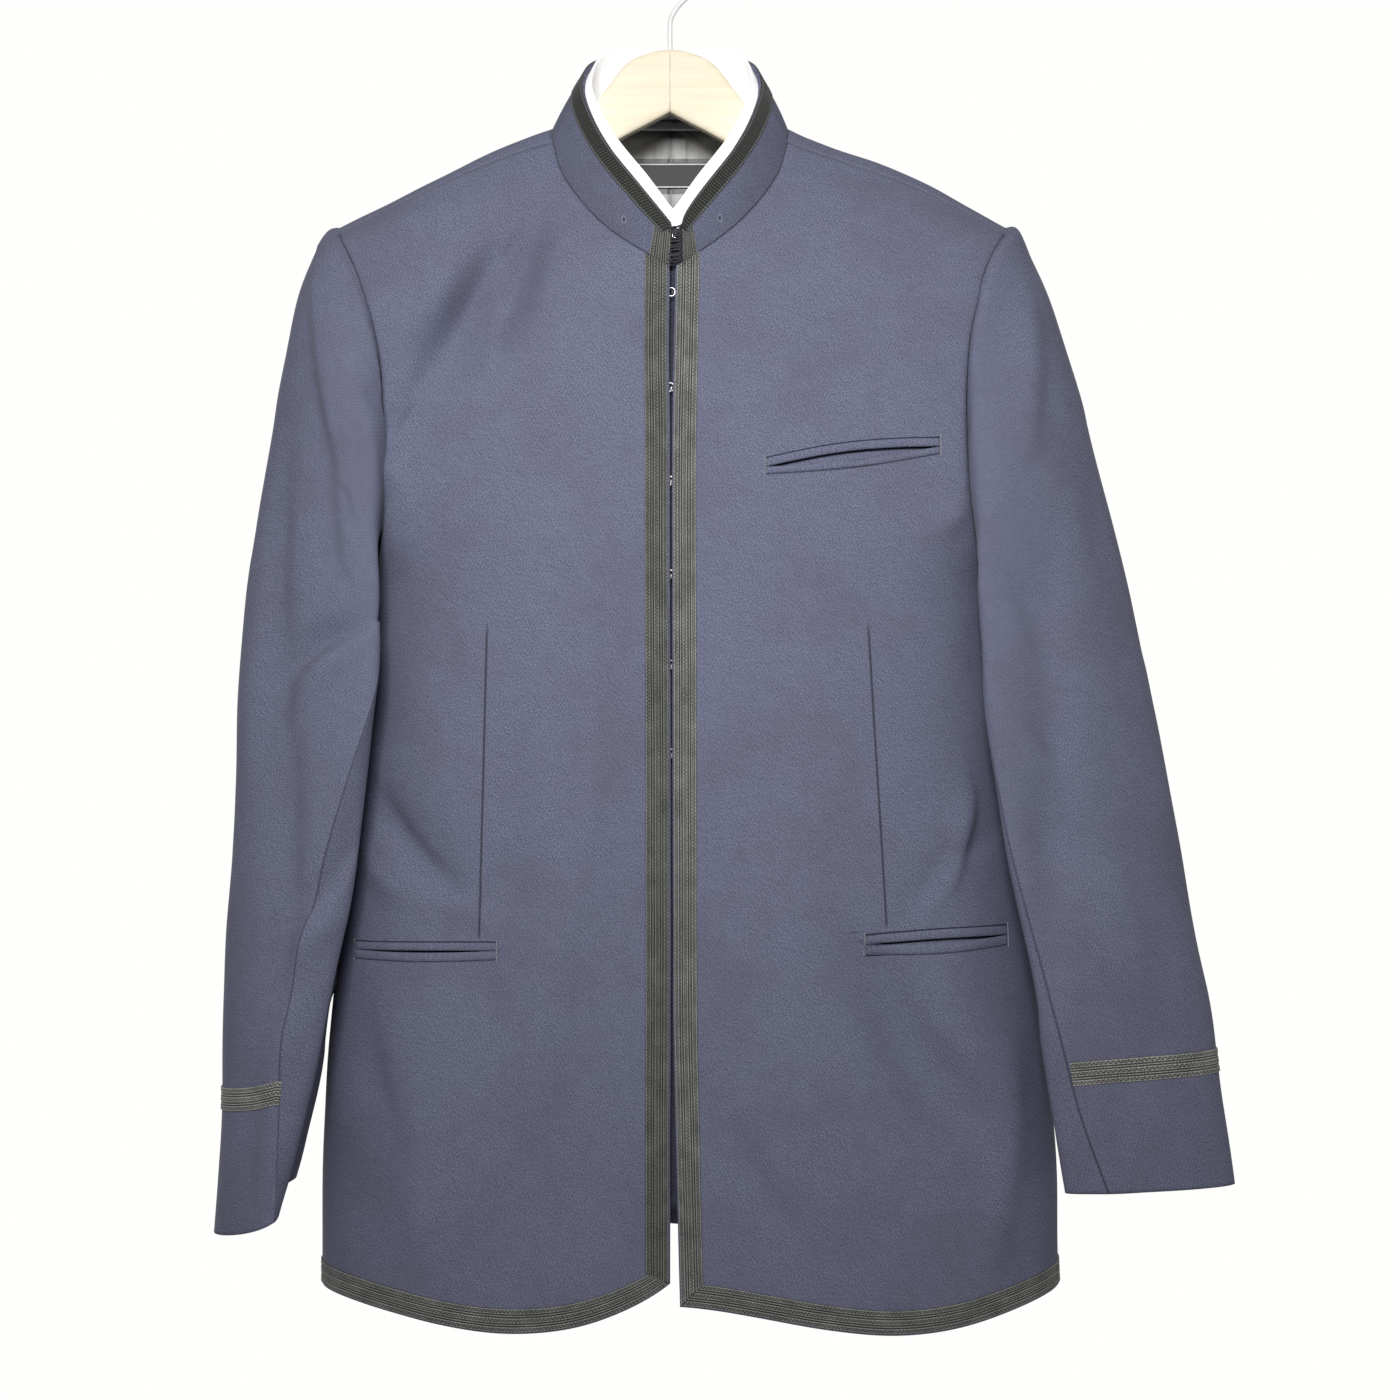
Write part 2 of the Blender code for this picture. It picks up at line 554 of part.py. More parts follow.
def sleeve(side):
    """The top and under sleeves of one side, and the top sleeve's cuff band."""
    hand = "left" if side == LEFT else "right"
    loop, loop_turn = armhole_loop(side)
    steps = np.array(SLEEVE_STEPS, dtype=float)
    top_turn, under_turn = sleeve_columns(side, steps, loop_turn)
    made = []
    for part, turn in (("top", top_turn), ("under", under_turn)):
        wrapped = np.mod(turn, 360)
        grid = sleeve_points(side, wrapped, steps, loop, loop_turn)
        wide = unit(grid[:, 1] - grid[:, 0]) * GAP / 2
        grid[:, 0] += wide
        grid[:, -1] += unit(grid[:, -2] - grid[:, -1]) * GAP / 2
        facing = (side, 0, 0) if part == "top" else (-side, 0, 0)
        inward = -normals_of(grid, facing)
        centre = np.zeros((len(steps), 3))
        rows = SLEEVE_ROWS[side]
        for axis, pair in enumerate((("out_x", "in_x"), ("front_y", "back_y"),
                                     ("out_z", "in_z"))):
            both = [through(column(rows, SLEEVE_COLUMNS, name), steps) for name in pair]
            centre[:, axis] = (both[0] + both[1]) / 2 * MM * (side if axis == 0 else 1)
        for edge in (0, -1):
            to_middle = centre - grid[:, edge]
            along = unit(np.gradient(grid[:, edge], axis=0))
            to_middle -= along * np.sum(to_middle * along, axis=-1, keepdims=True)
            inward[:, edge] = unit(to_middle)
        inward[0] = armhole_inward(grid[0])
        inside = grid + inward * CLOTH
        wall_between("sleeve_" + part + "_" + hand, grid, inside, "cloth")
        if part == "top":
            made = band_on(grid, -inward, steps, side)
    outside, inside = made
    wall_between("cuff_band_" + hand, outside, inside, "braid")


def band_on(grid, outward, steps, side):
    """The cuff band: the top sleeve's own points at one level, moved out."""
    row = int(np.argmin(np.abs(steps - CUFF_BAND_ROW)))
    down = unit(grid[row + 1] - grid[row - 1])
    strip = np.stack([grid[row] - down * BRAID_WIDTH / 2, grid[row] + down * BRAID_WIDTH / 2])
    near = strip + outward[row] * GAP
    return near + outward[row] * BRAID_WALL, near


def front_edge_braid(side, grid, inside):
    """The braid down a front edge: the panel's own first two columns, moved out."""
    hand = "left" if side == LEFT else "right"
    neck = LEVELS.index(NECK_ROW)
    rows = slice(1, neck + 1)
    base = grid[rows, :2].copy()
    out = -unit(inside[rows, :2] - grid[rows, :2])
    base[0] = grid[0, :2] + unit(grid[1, :2] - grid[0, :2]) * (BRAID_WIDTH + GAP)
    step = unit(base[:, 1] - base[:, 0])
    base[:, 1] = base[:, 0] + step * BRAID_WIDTH
    base[-1] -= unit(base[-1] - base[-2]) * MM
    near = base + out * GAP
    wall_between("edge_braid_" + hand, near + out * BRAID_WALL, near, "braid")


def hem_braid(piece, side, grid, inside):
    """The braid round the hem: the panel's own lowest points, moved out."""
    hand = "left" if side == LEFT else "right"
    base = grid[:2].copy()
    out = -unit(inside[:2] - grid[:2])
    step = unit(base[1] - base[0])
    base[1] = base[0] + step * (BRAID_WIDTH - 0.5 * MM)
    base[:, -1] += unit(base[:, -2] - base[:, -1]) * GAP
    near = base + out * GAP
    name = "hem_braid_" + ("back_" if piece == "back" else "") + hand
    wall_between(name, near + out * BRAID_WALL, near, "braid")


def pocket(name):
    """The two lips of a jetted pocket, laid on the front's own surface."""
    sizes = dict(zip(POCKET_COLUMNS, POCKETS[name]))
    hand = "left" if sizes["side"] == LEFT else "right"
    front = bpy.data.objects["front_" + hand]
    surface = BVHTree.FromObject(front, bpy.context.evaluated_depsgraph_get())
    place = np.linspace(0, 1, 15)
    x = (sizes["x0"] + (sizes["x1"] - sizes["x0"]) * place) * MM
    middle = (sizes["z0"] + (sizes["z1"] - sizes["z0"]) * place) * MM
    open_by = sizes["mouth"] * MM * (0.25 + 0.75 * np.sin(math.pi * place)) / 2
    kind = name.split("_")[0]
    suffix = "" if kind == "breast" else "_" + hand
    for lip_name, sign in (("upper", 1), ("lower", -1)):
        edges = []
        for reach in (0.0, sizes["lip"] * MM):
            edges.append(np.stack([x, middle + sign * (open_by + reach)], axis=-1))
        outside, inside = [], []
        for edge in edges:
            near_row, far_row = [], []
            for at_x, at_z in edge:
                spot, normal, _, _ = surface.ray_cast(Vector((at_x, -0.3, at_z)),
                                                      Vector((0, 1, 0)))
                lift = np.array(normal)
                near_row.append(np.array(spot) + lift * 2 * GAP)
                far_row.append(np.array(spot) + lift * (2 * GAP + BRAID_WALL))
            inside.append(near_row)
            outside.append(far_row)
        wall_between(kind + "_jet_" + lip_name + suffix, np.array(outside),
                     np.array(inside), "cloth")


def neckline(grids):
    """The neckline's points from the right front round the back to the left front."""
    first = LEVELS.index(NECK_ROW)
    right_front = grids["front", RIGHT][first:, 0]
    right_back = grids["back", RIGHT][first:-1, 0][::-1]
    left_back = grids["back", LEFT][first:-1, 0]
    left_front = grids["front", LEFT][first:, 0][::-1]
    loop = np.concatenate([right_front, right_back, left_back[1:], left_front])
    return loop


def collar_top(loop):
    """The collar's top edge, a point for each point of the neckline."""
    table = np.array(COLLAR_TOP) * MM
    steps = np.linalg.norm(np.diff(loop, axis=0), axis=1)
    share = np.concatenate([[0], np.cumsum(steps)]) / steps.sum()
    place = (1 - np.abs(2 * share - 1)) * (len(table) - 1)
    top = through(table, place)
    right = share <= 0.5
    top[:, 0] = np.where(right, top[:, 0], -top[:, 0]) + COLLAR_TOP_SHIFT * MM * (
        np.abs(2 * share - 1))
    return top, share


def collar_pieces(grids):
    """The stand collar, the liner inside it and the braid on it."""
    loop = neckline(grids)
    top, share = collar_top(loop)
    rise = unit(top - loop)
    heights = np.array([0.0, 0.35, 0.7, 1.0])
    base = loop + rise * 0.45 * MM
    outside = base[None] + (top - base)[None] * heights[:, None, None]
    belly = np.sin(math.pi * heights)[:, None, None] * COLLAR_BELLY * MM
    flat_out = unit(np.stack([loop[:, 0], loop[:, 1], np.zeros(len(loop))], axis=-1))
    outside = outside + belly * flat_out[None]
    inward = -normals_of(outside, (0, 0, 0))
    inward = np.where(np.sum(inward * flat_out[None], axis=-1, keepdims=True) > 0,
                      -inward, inward)
    inside = outside + inward * COLLAR_CLOTH
    wall_between("collar", outside, inside, "cloth")

    # The liner lies inside and stands above the collar's top edge.
    stand = LINER_RISE_BACK + (LINER_RISE_FRONT - LINER_RISE_BACK) * np.abs(2 * share - 1)
    near = inside + inward * GAP
    crest = near[-1] + unit(near[-1] - near[-2]) * (stand * MM)[:, None]
    liner_out = np.concatenate([near[1:2], near[2:], crest[None]])
    liner_in = liner_out + np.concatenate([inward[1:], inward[-1:]]) * LINER_WALL
    for end, following in ((0, 1), (-1, -2)):
        for wall in (liner_out, liner_in):
            wall[:, end] += unit(wall[:, following] - wall[:, end]) * 1.5 * MM
    wall_between("collar_liner", liner_out, liner_in, "liner")

    # Braid round the top edge and up the two ends.
    outward = -inward
    fall = unit(outside[-1] - outside[-2])
    upper = np.stack([outside[-1] - fall * COLLAR_TAPE * MM, outside[-1]])
    lift = np.stack([outward[-1], outward[-1]])
    near = upper + lift * GAP
    wall_between("collar_braid", near + lift * BRAID_WALL, near, "braid")
    for hand, end, following in (("right", 0, 1), ("left", -1, -2)):
        edge = outside[:, end]
        step = unit(outside[:, following] - edge)
        strip = np.stack([edge, edge + step * COLLAR_END_TAPE * MM], axis=1)[:3]
        strip[-1] -= unit(strip[-1] - strip[-2]) * END_TAPE_SHORT * MM
        out = np.repeat(outward[:3, end][:, None], 2, axis=1)
        near = strip + out * GAP
        wall_between("collar_end_braid_" + hand, near + out * BRAID_WALL, near, "braid")


def underlap():
    """The strip behind the front opening, sewn to the left front. It leans with that
    front as far as the opening, and its sewn edge stands nearer to it."""
    left = panel_points("front", LEFT, (0.0, EDGE_TAPE, 0.5), UNDERLAP_LEVELS)
    x = np.array(UNDERLAP_X) * MM
    depth = np.array([0.0, 1.7, 1.9, 1.9]) * MM
    back = left[:, 0, 1] + CLOTH + UNDERLAP_SET_BACK
    slope = (left[:, 1, 1] - left[:, 0, 1]) / (left[:, 1, 0] - left[:, 0, 0])
    lean = slope[:, None] * np.minimum(x[None], 0.0)
    y = back[:, None] + lean + depth[None]
    grid = np.stack([np.broadcast_to(x[None], y.shape), y,
                     np.broadcast_to(left[:, 0, 2][:, None], y.shape)], axis=-1)
    inside = grid + np.array([0.0, UNDERLAP_CLOTH, 0.0])
    wall_between("underlap", grid, inside, "cloth")


def back_neck(grids, insides):
    """The lining inside the back of the neck, and the plain label on it."""
    rows = slice(LEVELS.index(8.5), LEVELS.index(NECK_ROW) + 1)
    left = insides["back", LEFT][rows, 4::-1]
    right = insides["back", RIGHT][rows, :5]
    left_out = unit(left - grids["back", LEFT][rows, 4::-1])
    right_out = unit(right - grids["back", RIGHT][rows, :5])
    inside = np.concatenate([left[:, :-1], right], axis=1)
    out = np.concatenate([left_out[:, :-1], right_out], axis=1)
    near = inside + out * GAP * 1.4
    near[-1, :, 2] -= MM
    lining_front = near + out * LINING_WALL
    lining = wall_between("neck_lining", lining_front, near, "lining")
    surface = BVHTree.FromObject(lining, bpy.context.evaluated_depsgraph_get())
    x = np.linspace(-LABEL_HALF_WIDTH, LABEL_HALF_WIDTH, 7) * MM
    rows = []
    for z in LABEL_ROWS:
        row = []
        for at_x in x:
            spot, _, _, _ = surface.ray_cast(Vector((at_x, -0.2, z * MM)), Vector((0, 1, 0)))
            row.append(np.array(spot))
        rows.append(row)
    face = np.array(rows) - np.array([0.0, GAP * 1.3, 0.0])
    wall_between("neck_label", face - np.array([0.0, LABEL_WALL, 0.0]), face, "label")


def fasteners(grids):
    """Six wire hooks and eyes behind the front edges, and one pair at the collar."""
    left = grids["front", LEFT]
    heights = left[:, 0, 2]
    order = np.argsort(heights)
    for number, height in enumerate(FASTENER_HEIGHTS, start=1):
        z = height * MM
        y_edge = np.interp(z, heights[order], left[order, 0, 1])
        x_left = np.interp(z, heights[order], left[order, 0, 0])
        x_right = np.interp(z, heights[order], grids["front", RIGHT][order, 0, 0])
        plane = y_edge + CLOTH + GAP + FASTENER_WIRE + FASTENER_SET_BACK
        eye_and_hook(str(number), x_left, x_right, plane, z, y_edge)


def eye_and_hook(number, x_left, x_right, plane, z, y_front):
    """An eye is a D of wire behind the left edge; a hook comes from behind the right
    edge, and its nose stands forward through the eye into the opening."""
    middle = (x_left + x_right) / 2
    turn = np.linspace(-math.pi / 2, math.pi / 2, 7)
    arc = np.stack([middle + EYE_MIDDLE + EYE_REACH * np.cos(turn), np.full(7, plane),
                    z + EYE_HALF_HEIGHT * np.sin(turn)], axis=-1)
    head = np.array([[middle - EYE_TAIL, plane, z - EYE_HALF_HEIGHT]])
    tail = np.array([[middle - EYE_TAIL, plane, z + EYE_HALF_HEIGHT],
                     [middle - EYE_TAIL, plane, z + 0.4 * EYE_HALF_HEIGHT]])
    tube("eye_" + number, np.concatenate([head, arc, tail]), FASTENER_WIRE, 6, "metal")
    back = plane + HOOK_BEHIND_EYE
    nose = np.array([
        [middle + HOOK_TAIL, back, z],
        [middle + 5.0 * MM, back, z],
        [middle + 1.6 * MM, back, z],
        [middle, back - 0.5 * MM, z],
        [middle + NOSE_X, plane - 0.2 * MM, z],
        [middle + NOSE_X, (plane + y_front) / 2, z],
        [middle + NOSE_X, y_front + 0.1 * MM, z],
    ])
    tube("hook_" + number, nose, FASTENER_WIRE, 6, "metal")


def hanger():
    """Two wooden halves glued at the middle, and the wire hook that stands in them."""
    around = np.linspace(0, 2 * math.pi, 14, endpoint=False)
    places = np.array([0, 1, 2, 2.5, 3, 4, 5, 6, 7, 8, 9], dtype=float)
    table = {name: through(column(HANGER_ROWS, HANGER_COLUMNS, name), places)
             for name in HANGER_COLUMNS}
    power = table["roundness"][:, None]
    cosine = np.sign(np.cos(around)) * np.abs(np.cos(around)) ** power
    sine = np.sign(np.sin(around)) * np.abs(np.sin(around)) ** power
    for hand, side in (("left", LEFT), ("right", RIGHT)):
        middle_z = table["top_z"] - table["height"] / 2
        rings = np.stack([
            np.broadcast_to(side * table["x"][:, None], (len(places), len(around))),
            table["y"][:, None] + table["depth"][:, None] / 2 * cosine,
            middle_z[:, None] + table["height"][:, None] / 2 * sine], axis=-1) * MM
        half = solid_of_rings("hanger_wood_" + hand, rings, "wood")
        shank_hole(half)
    hook_path()


def shank_hole(half):
    """Cuts the hole for the hook's shank into the top of the wood."""
    work = bmesh.new()
    bmesh.ops.create_cone(work, cap_ends=True, segments=16, radius1=HOOK_WIRE + 0.4 * MM,
                          radius2=HOOK_WIRE + 0.4 * MM, depth=2 * SHANK_DEPTH)
    mesh = bpy.data.meshes.new("cutter_" + half.name)
    work.to_mesh(mesh)
    work.free()
    cutter = bpy.data.objects.new("cutter_" + half.name, mesh)
    bpy.context.collection.objects.link(cutter)
    cutter.location = (0.0, 0.0, HANGER_ROWS[0][1] * MM)
    cutter.hide_render = True
    cutter.display_type = "WIRE"
    cut = half.modifiers.new("shank_hole", "BOOLEAN")
    cut.operation = "DIFFERENCE"
    cut.object = cutter


def hook_path():
    """The hook: up from the wood, out to the right, and over in an arc to its tip."""
    radius = HOOK_BEND + HOOK_WIRE
    top = HANGER_ROWS[0][1] * MM
    shank = np.array([[0, 0, top - SHANK_DEPTH + 0.6 * MM], [0, 0, top + 4 * MM],
                      [0, 0, -62 * MM], [1.2 * MM, 0, -56 * MM]])
    angle = np.radians(np.linspace(-52, 200, 19))
    arc = np.stack([radius * np.cos(angle), np.zeros(19),
                    -HOOK_BEND + radius * np.sin(angle)], axis=-1)
    bend = np.array([[6.0 * MM, 0, -48.5 * MM]])
    tube("hanger_hook", np.concatenate([shank, bend, arc]), HOOK_WIRE, 10, "hook")


def collar_fastener(grids):
    """The hook and eye that close the collar's ends."""
    right = grids["front", RIGHT][LEVELS.index(NECK_ROW), 0]
    left = grids["front", LEFT][LEVELS.index(NECK_ROW), 0]
    plane = right[1] + COLLAR_CLOTH + COLLAR_FASTENER_SET_BACK
    eye_and_hook("collar", left[0], right[0], plane, COLLAR_FASTENER_HEIGHT * MM,
                 right[1] + MM)


def main():
    clear_scene()
    grids, insides = {}, {}
    for piece in ("front", "back"):
        for side in (LEFT, RIGHT):
            _, grid, inside = shirt_panel(piece, side)
            grids[piece, side], insides[piece, side] = grid, inside
            hem_braid(piece, side, grid, inside)
            if piece == "front":
                front_edge_braid(side, grid, inside)
    for side in (LEFT, RIGHT):
        sleeve(side)
    for name in POCKETS:
        pocket(name)
    collar_pieces(grids)
    back_neck(grids, insides)
    underlap()
    fasteners(grids)
    collar_fastener(grids)
    hanger()


main()
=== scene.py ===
"""A stand-collar school uniform jacket in navy twill, hooked down its front and edged
with ribbed braid, on a pale wooden hanger.

Metres, +Z up, with the front towards -Y. The origin is the inside top of the hanger's
hook. The tables are in millimetres.
"""
import math

import bpy
import numpy as np
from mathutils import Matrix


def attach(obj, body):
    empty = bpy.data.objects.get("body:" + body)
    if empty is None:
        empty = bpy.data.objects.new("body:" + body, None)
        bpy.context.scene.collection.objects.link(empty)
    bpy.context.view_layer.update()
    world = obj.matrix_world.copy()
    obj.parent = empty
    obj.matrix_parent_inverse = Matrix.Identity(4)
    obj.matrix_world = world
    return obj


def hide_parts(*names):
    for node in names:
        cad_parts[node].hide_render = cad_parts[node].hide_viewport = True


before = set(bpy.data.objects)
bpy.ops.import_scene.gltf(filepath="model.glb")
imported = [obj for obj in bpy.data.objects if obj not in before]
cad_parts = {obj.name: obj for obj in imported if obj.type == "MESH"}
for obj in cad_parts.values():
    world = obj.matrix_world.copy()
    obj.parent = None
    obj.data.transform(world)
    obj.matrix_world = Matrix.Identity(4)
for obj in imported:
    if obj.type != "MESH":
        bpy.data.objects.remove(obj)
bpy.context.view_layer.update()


# The camera stands 1.6 m in front of the hook, level, at the jacket's mid height. Its
# lens gives a frame 2444 pixels deep for 1400 wide.
lens = bpy.data.cameras.new("camera")
lens.sensor_width = 36.0
lens.lens = 36.0 * 2444.0 / 1400.0
camera = bpy.data.objects.new("camera", lens)
camera.location = (0.0196, -1.6, -0.5034)
camera.rotation_euler = (math.radians(90), 0.0, 0.0)
bpy.context.scene.collection.objects.link(camera)
bpy.context.scene.camera = camera
bpy.context.scene.view_settings.view_transform = "Standard"


# Studio. The surround is white behind the jacket and grey elsewhere: lightest at its sides,
# and in front of it lighter high up than low down. A soft lamp in front shines at the chest.
SURROUND = (1.0, 0.995, 0.985, 1.0)
SURROUND_HIGH = (0.24, 0.24, 0.245, 1.0)
SURROUND_LOW = (0.19, 0.188, 0.186, 1.0)
SURROUND_SIDE = (0.33, 0.328, 0.325, 1.0)

world = bpy.data.worlds.new("studio")
bpy.context.scene.world = world
world.use_nodes = True
sky = world.node_tree
way = sky.nodes.new("ShaderNodeTexCoord")
parts = sky.nodes.new("ShaderNodeSeparateXYZ")
sky.links.new(way.outputs["Generated"], parts.inputs[0])


def sky_share(output, low, high):
    """0 to 1 as one part of the direction goes from low to high."""
    share = sky.nodes.new("ShaderNodeMapRange")
    share.interpolation_type = "SMOOTHSTEP"
    share.inputs["From Min"].default_value = low
    share.inputs["From Max"].default_value = high
    sky.links.new(parts.outputs[output], share.inputs["Value"])
    return share.outputs[0]


def sky_mix(share, first, second):
    """A colour between two, each a tuple or an output."""
    mix = sky.nodes.new("ShaderNodeMix")
    mix.data_type = "RGBA"
    sky.links.new(share, mix.inputs[0])
    for socket, value in ((mix.inputs[6], first), (mix.inputs[7], second)):
        if isinstance(value, tuple):
            socket.default_value = value
        else:
            sky.links.new(value, socket)
    return mix.outputs[2]


in_front = sky_mix(sky_share("Z", -0.5, 0.9), SURROUND_LOW, SURROUND_HIGH)
around = sky_mix(sky_share("Y", -0.9, -0.2), in_front, SURROUND_SIDE)
sky.links.new(sky_mix(sky_share("Y", 0.80, 0.88), around, SURROUND),
              sky.nodes["Background"].inputs["Color"])


def soft_lamp(name, place, aim, size, power, spread):
    """A square area lamp at place, turned to shine at aim. Its spread is in degrees."""
    lamp_data = bpy.data.lights.new(name, "AREA")
    lamp_data.size = size
    lamp_data.energy = power
    lamp_data.spread = math.radians(spread)
    lamp = bpy.data.objects.new(name, lamp_data)
    lamp.location = place
    facing = [end - start for start, end in zip(place, aim)]
    flat = math.hypot(facing[0], facing[1])
    lamp.rotation_euler = (math.atan2(flat, -facing[2]), 0.0,
                           math.atan2(-facing[0], facing[1]))
    bpy.context.scene.collection.objects.link(lamp)


soft_lamp("lamp", place=(-0.12, -1.5, 0.12), aim=(0.02, 0.0, -0.38), size=0.4, power=4.0,
          spread=74.0)


# Fronts. Two panels of navy wool-blend twill, each whole from the shoulder to the hem,
# with a long dart from the chest to the hip pocket. They are sewn to the backs at the
# side and shoulder seams, and their front edges meet on hooks and eyes.
MM = 0.001
LEFT, RIGHT = -1.0, 1.0   # the sides at -X and at +X, as they are seen from the front
HANDS = {LEFT: "left", RIGHT: "right"}
CLOTH_THICKNESS = 1.5 * MM
SECTION_ROUND = 0.77      # below 1 squares a panel's section off, 1 is an ellipse
SAG_SHAPE = {LEFT: 0.7, RIGHT: 1.25}    # below 1, a hem dips nearer its front edge
SAG_NARROWNESS = 1.3      # above 1, the dip keeps to the hem's middle
ARMPIT_ROW, NECK_ROW, LAST_ROW = 6, 10, 14

# Rows from the hem to the shoulder. "in" is the front edge and the neckline, "out" the
# side seam and the armhole; full_y is how far the panel stands forward between them,
# and a sag is how far the row dips there.
FRONT_COLUMNS = ("in_left", "in_right", "in_y", "in_z_left", "in_z_right", "out_left",
                 "out_right", "out_y", "out_z", "full_y", "sag_left", "sag_right")
FRONT_ROWS = (
    (0.8, 6.9, -56, -872, -887, 228.0, 255.5, 16, -884, -83, 24.3, 17.5),
    (0.9, 4.4, -57, -782, -784, 228.0, 252.5, 16, -784, -82, 0, 0),
    (1.1, 2.9, -58, -716, -716, 223.5, 246.3, 16, -716, -80, 0, 0),
    (1.2, 2.5, -59, -650, -650, 216.0, 234.5, 15, -650, -78, 0, 0),
    (1.2, 2.4, -60, -585, -585, 209.0, 224.0, 14, -585, -76, 0, 0),
    (1.1, 2.3, -61, -510, -510, 202.0, 216.0, 10, -510, -74, 0, 0),
    (0.7, 2.1, -61, -432, -432, 195.0, 208.0, 0, -432, -72, 0, 0),
    (0.6, 2.0, -62, -398, -398, 184.5, 197.0, -34, -404, -71, 0, 0),
    (0.7, 2.2, -62, -331, -331, 180.8, 189.0, -50, -331, -68, 0, 0),
    (0.1, 3.3, -62, -278, -278, 185.0, 190.5, -51, -278, -64, 0, 0),
    (0.6, 4.2, -62, -230.3, -230.3, 192.5, 196.1, -47, -249.4, -58, 0, 0),
    (32.9, 34.5, -54, -209.2, -209.2, 198.5, 200.0, -41, -233, -51, 0, 0),
    (53.4, 54.4, -43, -188.7, -188.7, 206.0, 207.0, -34, -217, -43, 0, 0),
    (69.8, 70.6, -27, -162.9, -162.9, 211.5, 213.5, -26, -207, -33, -2, -2),
    (76.0, 76.6, -13, -141.0, -141.0, 215.2, 218.5, -17, -200.5, -15, -4, -5),
)
BACK_COLUMNS = ("in_x", "in_y", "in_z", "out_left", "out_right", "out_y", "out_z",
                "full_y", "sag_left", "sag_right")
BACK_ROWS = (
    (0.0, 58, -858, 228.0, 255.5, 16, -884, 64, 0, 0),
    (0.0, 58, -784, 228.0, 252.5, 16, -784, 64, 0, 0),
    (0.0, 57, -716, 223.5, 246.3, 16, -716, 62, 0, 0),
    (0.0, 55, -650, 216.0, 234.5, 15, -650, 60, 0, 0),
    (0.0, 53, -585, 209.0, 224.0, 14, -585, 58, 0, 0),
    (0.0, 53, -510, 202.0, 216.0, 10, -510, 57, 0, 0),
    (0.0, 54, -432, 195.0, 208.0, 0, -432, 58, 0, 0),
    (0.0, 55, -398, 188.0, 200.0, 32, -402, 59, 0, 0),
    (0.0, 55, -331, 184.5, 192.5, 47, -331, 59, 0, 0),
    (0.0, 55, -240, 189.0, 194.5, 48, -275, 57, 0, 0),
    (0.0, 50, -113, 196.0, 200.0, 43, -243, 53, 6, 6),
    (45.0, 40, -117, 204.0, 206.5, 31, -219, 43, 5, 5),
    (68.5, 21, -124, 211.0, 213.5, 16, -203, 26, 0, 0),
    (77.4, 0, -130.5, 216.0, 219.2, -6, -195.5, -1, -4, -6),
    (76.0, -13, -141.0, 215.2, 218.5, -17, -200.5, -15, -4, -5),
)

# The soft folds of each panel: a line from x0, z0 to x1, z1, bowed sideways at its
# middle, that falls off over one width to its left and another to its right. A height
# above nothing is a ridge.
FOLD_COLUMNS = ("x0", "z0", "x1", "z1", "bow", "left", "right", "height")
FOLDS = {
    ("front", LEFT): (
        (-84, -178, -158, -308, 0, 26, 15, -10.0),
        (-112, -228, -160, -312, 0, 24, 12, -16.0),
        (-80, -190, -108, -278, 0, 14, 10, -11.0),
        (-164, -310, -176, -372, 0, 18, 14, -6.0),
        (-64, -400, -78, -800, 0, 30, 22, 10.0),
        (-192, -560, -134, -640, 0, 20, 16, -8.0),
        (-150, -700, -140, -880, 0, 30, 30, 4.0),
    ),
    ("front", RIGHT): (
        (90, -240, 140, -330, 0, 22, 26, -6.0),
        (75, -430, 70, -800, 0, 34, 34, 4.0),
        (130, -670, 200, -785, 0, 18, 26, -14.0),
        (178, -560, 190, -650, 0, 22, 22, 4.0),
    ),
    ("back", LEFT): (
        (-120, -300, -90, -700, 0, 34, 34, 5.0),
        (-170, -620, -165, -880, 0, 30, 30, 5.0),
    ),
    ("back", RIGHT): (
        (110, -320, 95, -720, 0, 34, 34, 5.0),
        (180, -600, 178, -880, 0, 30, 30, 5.0),
    ),
}
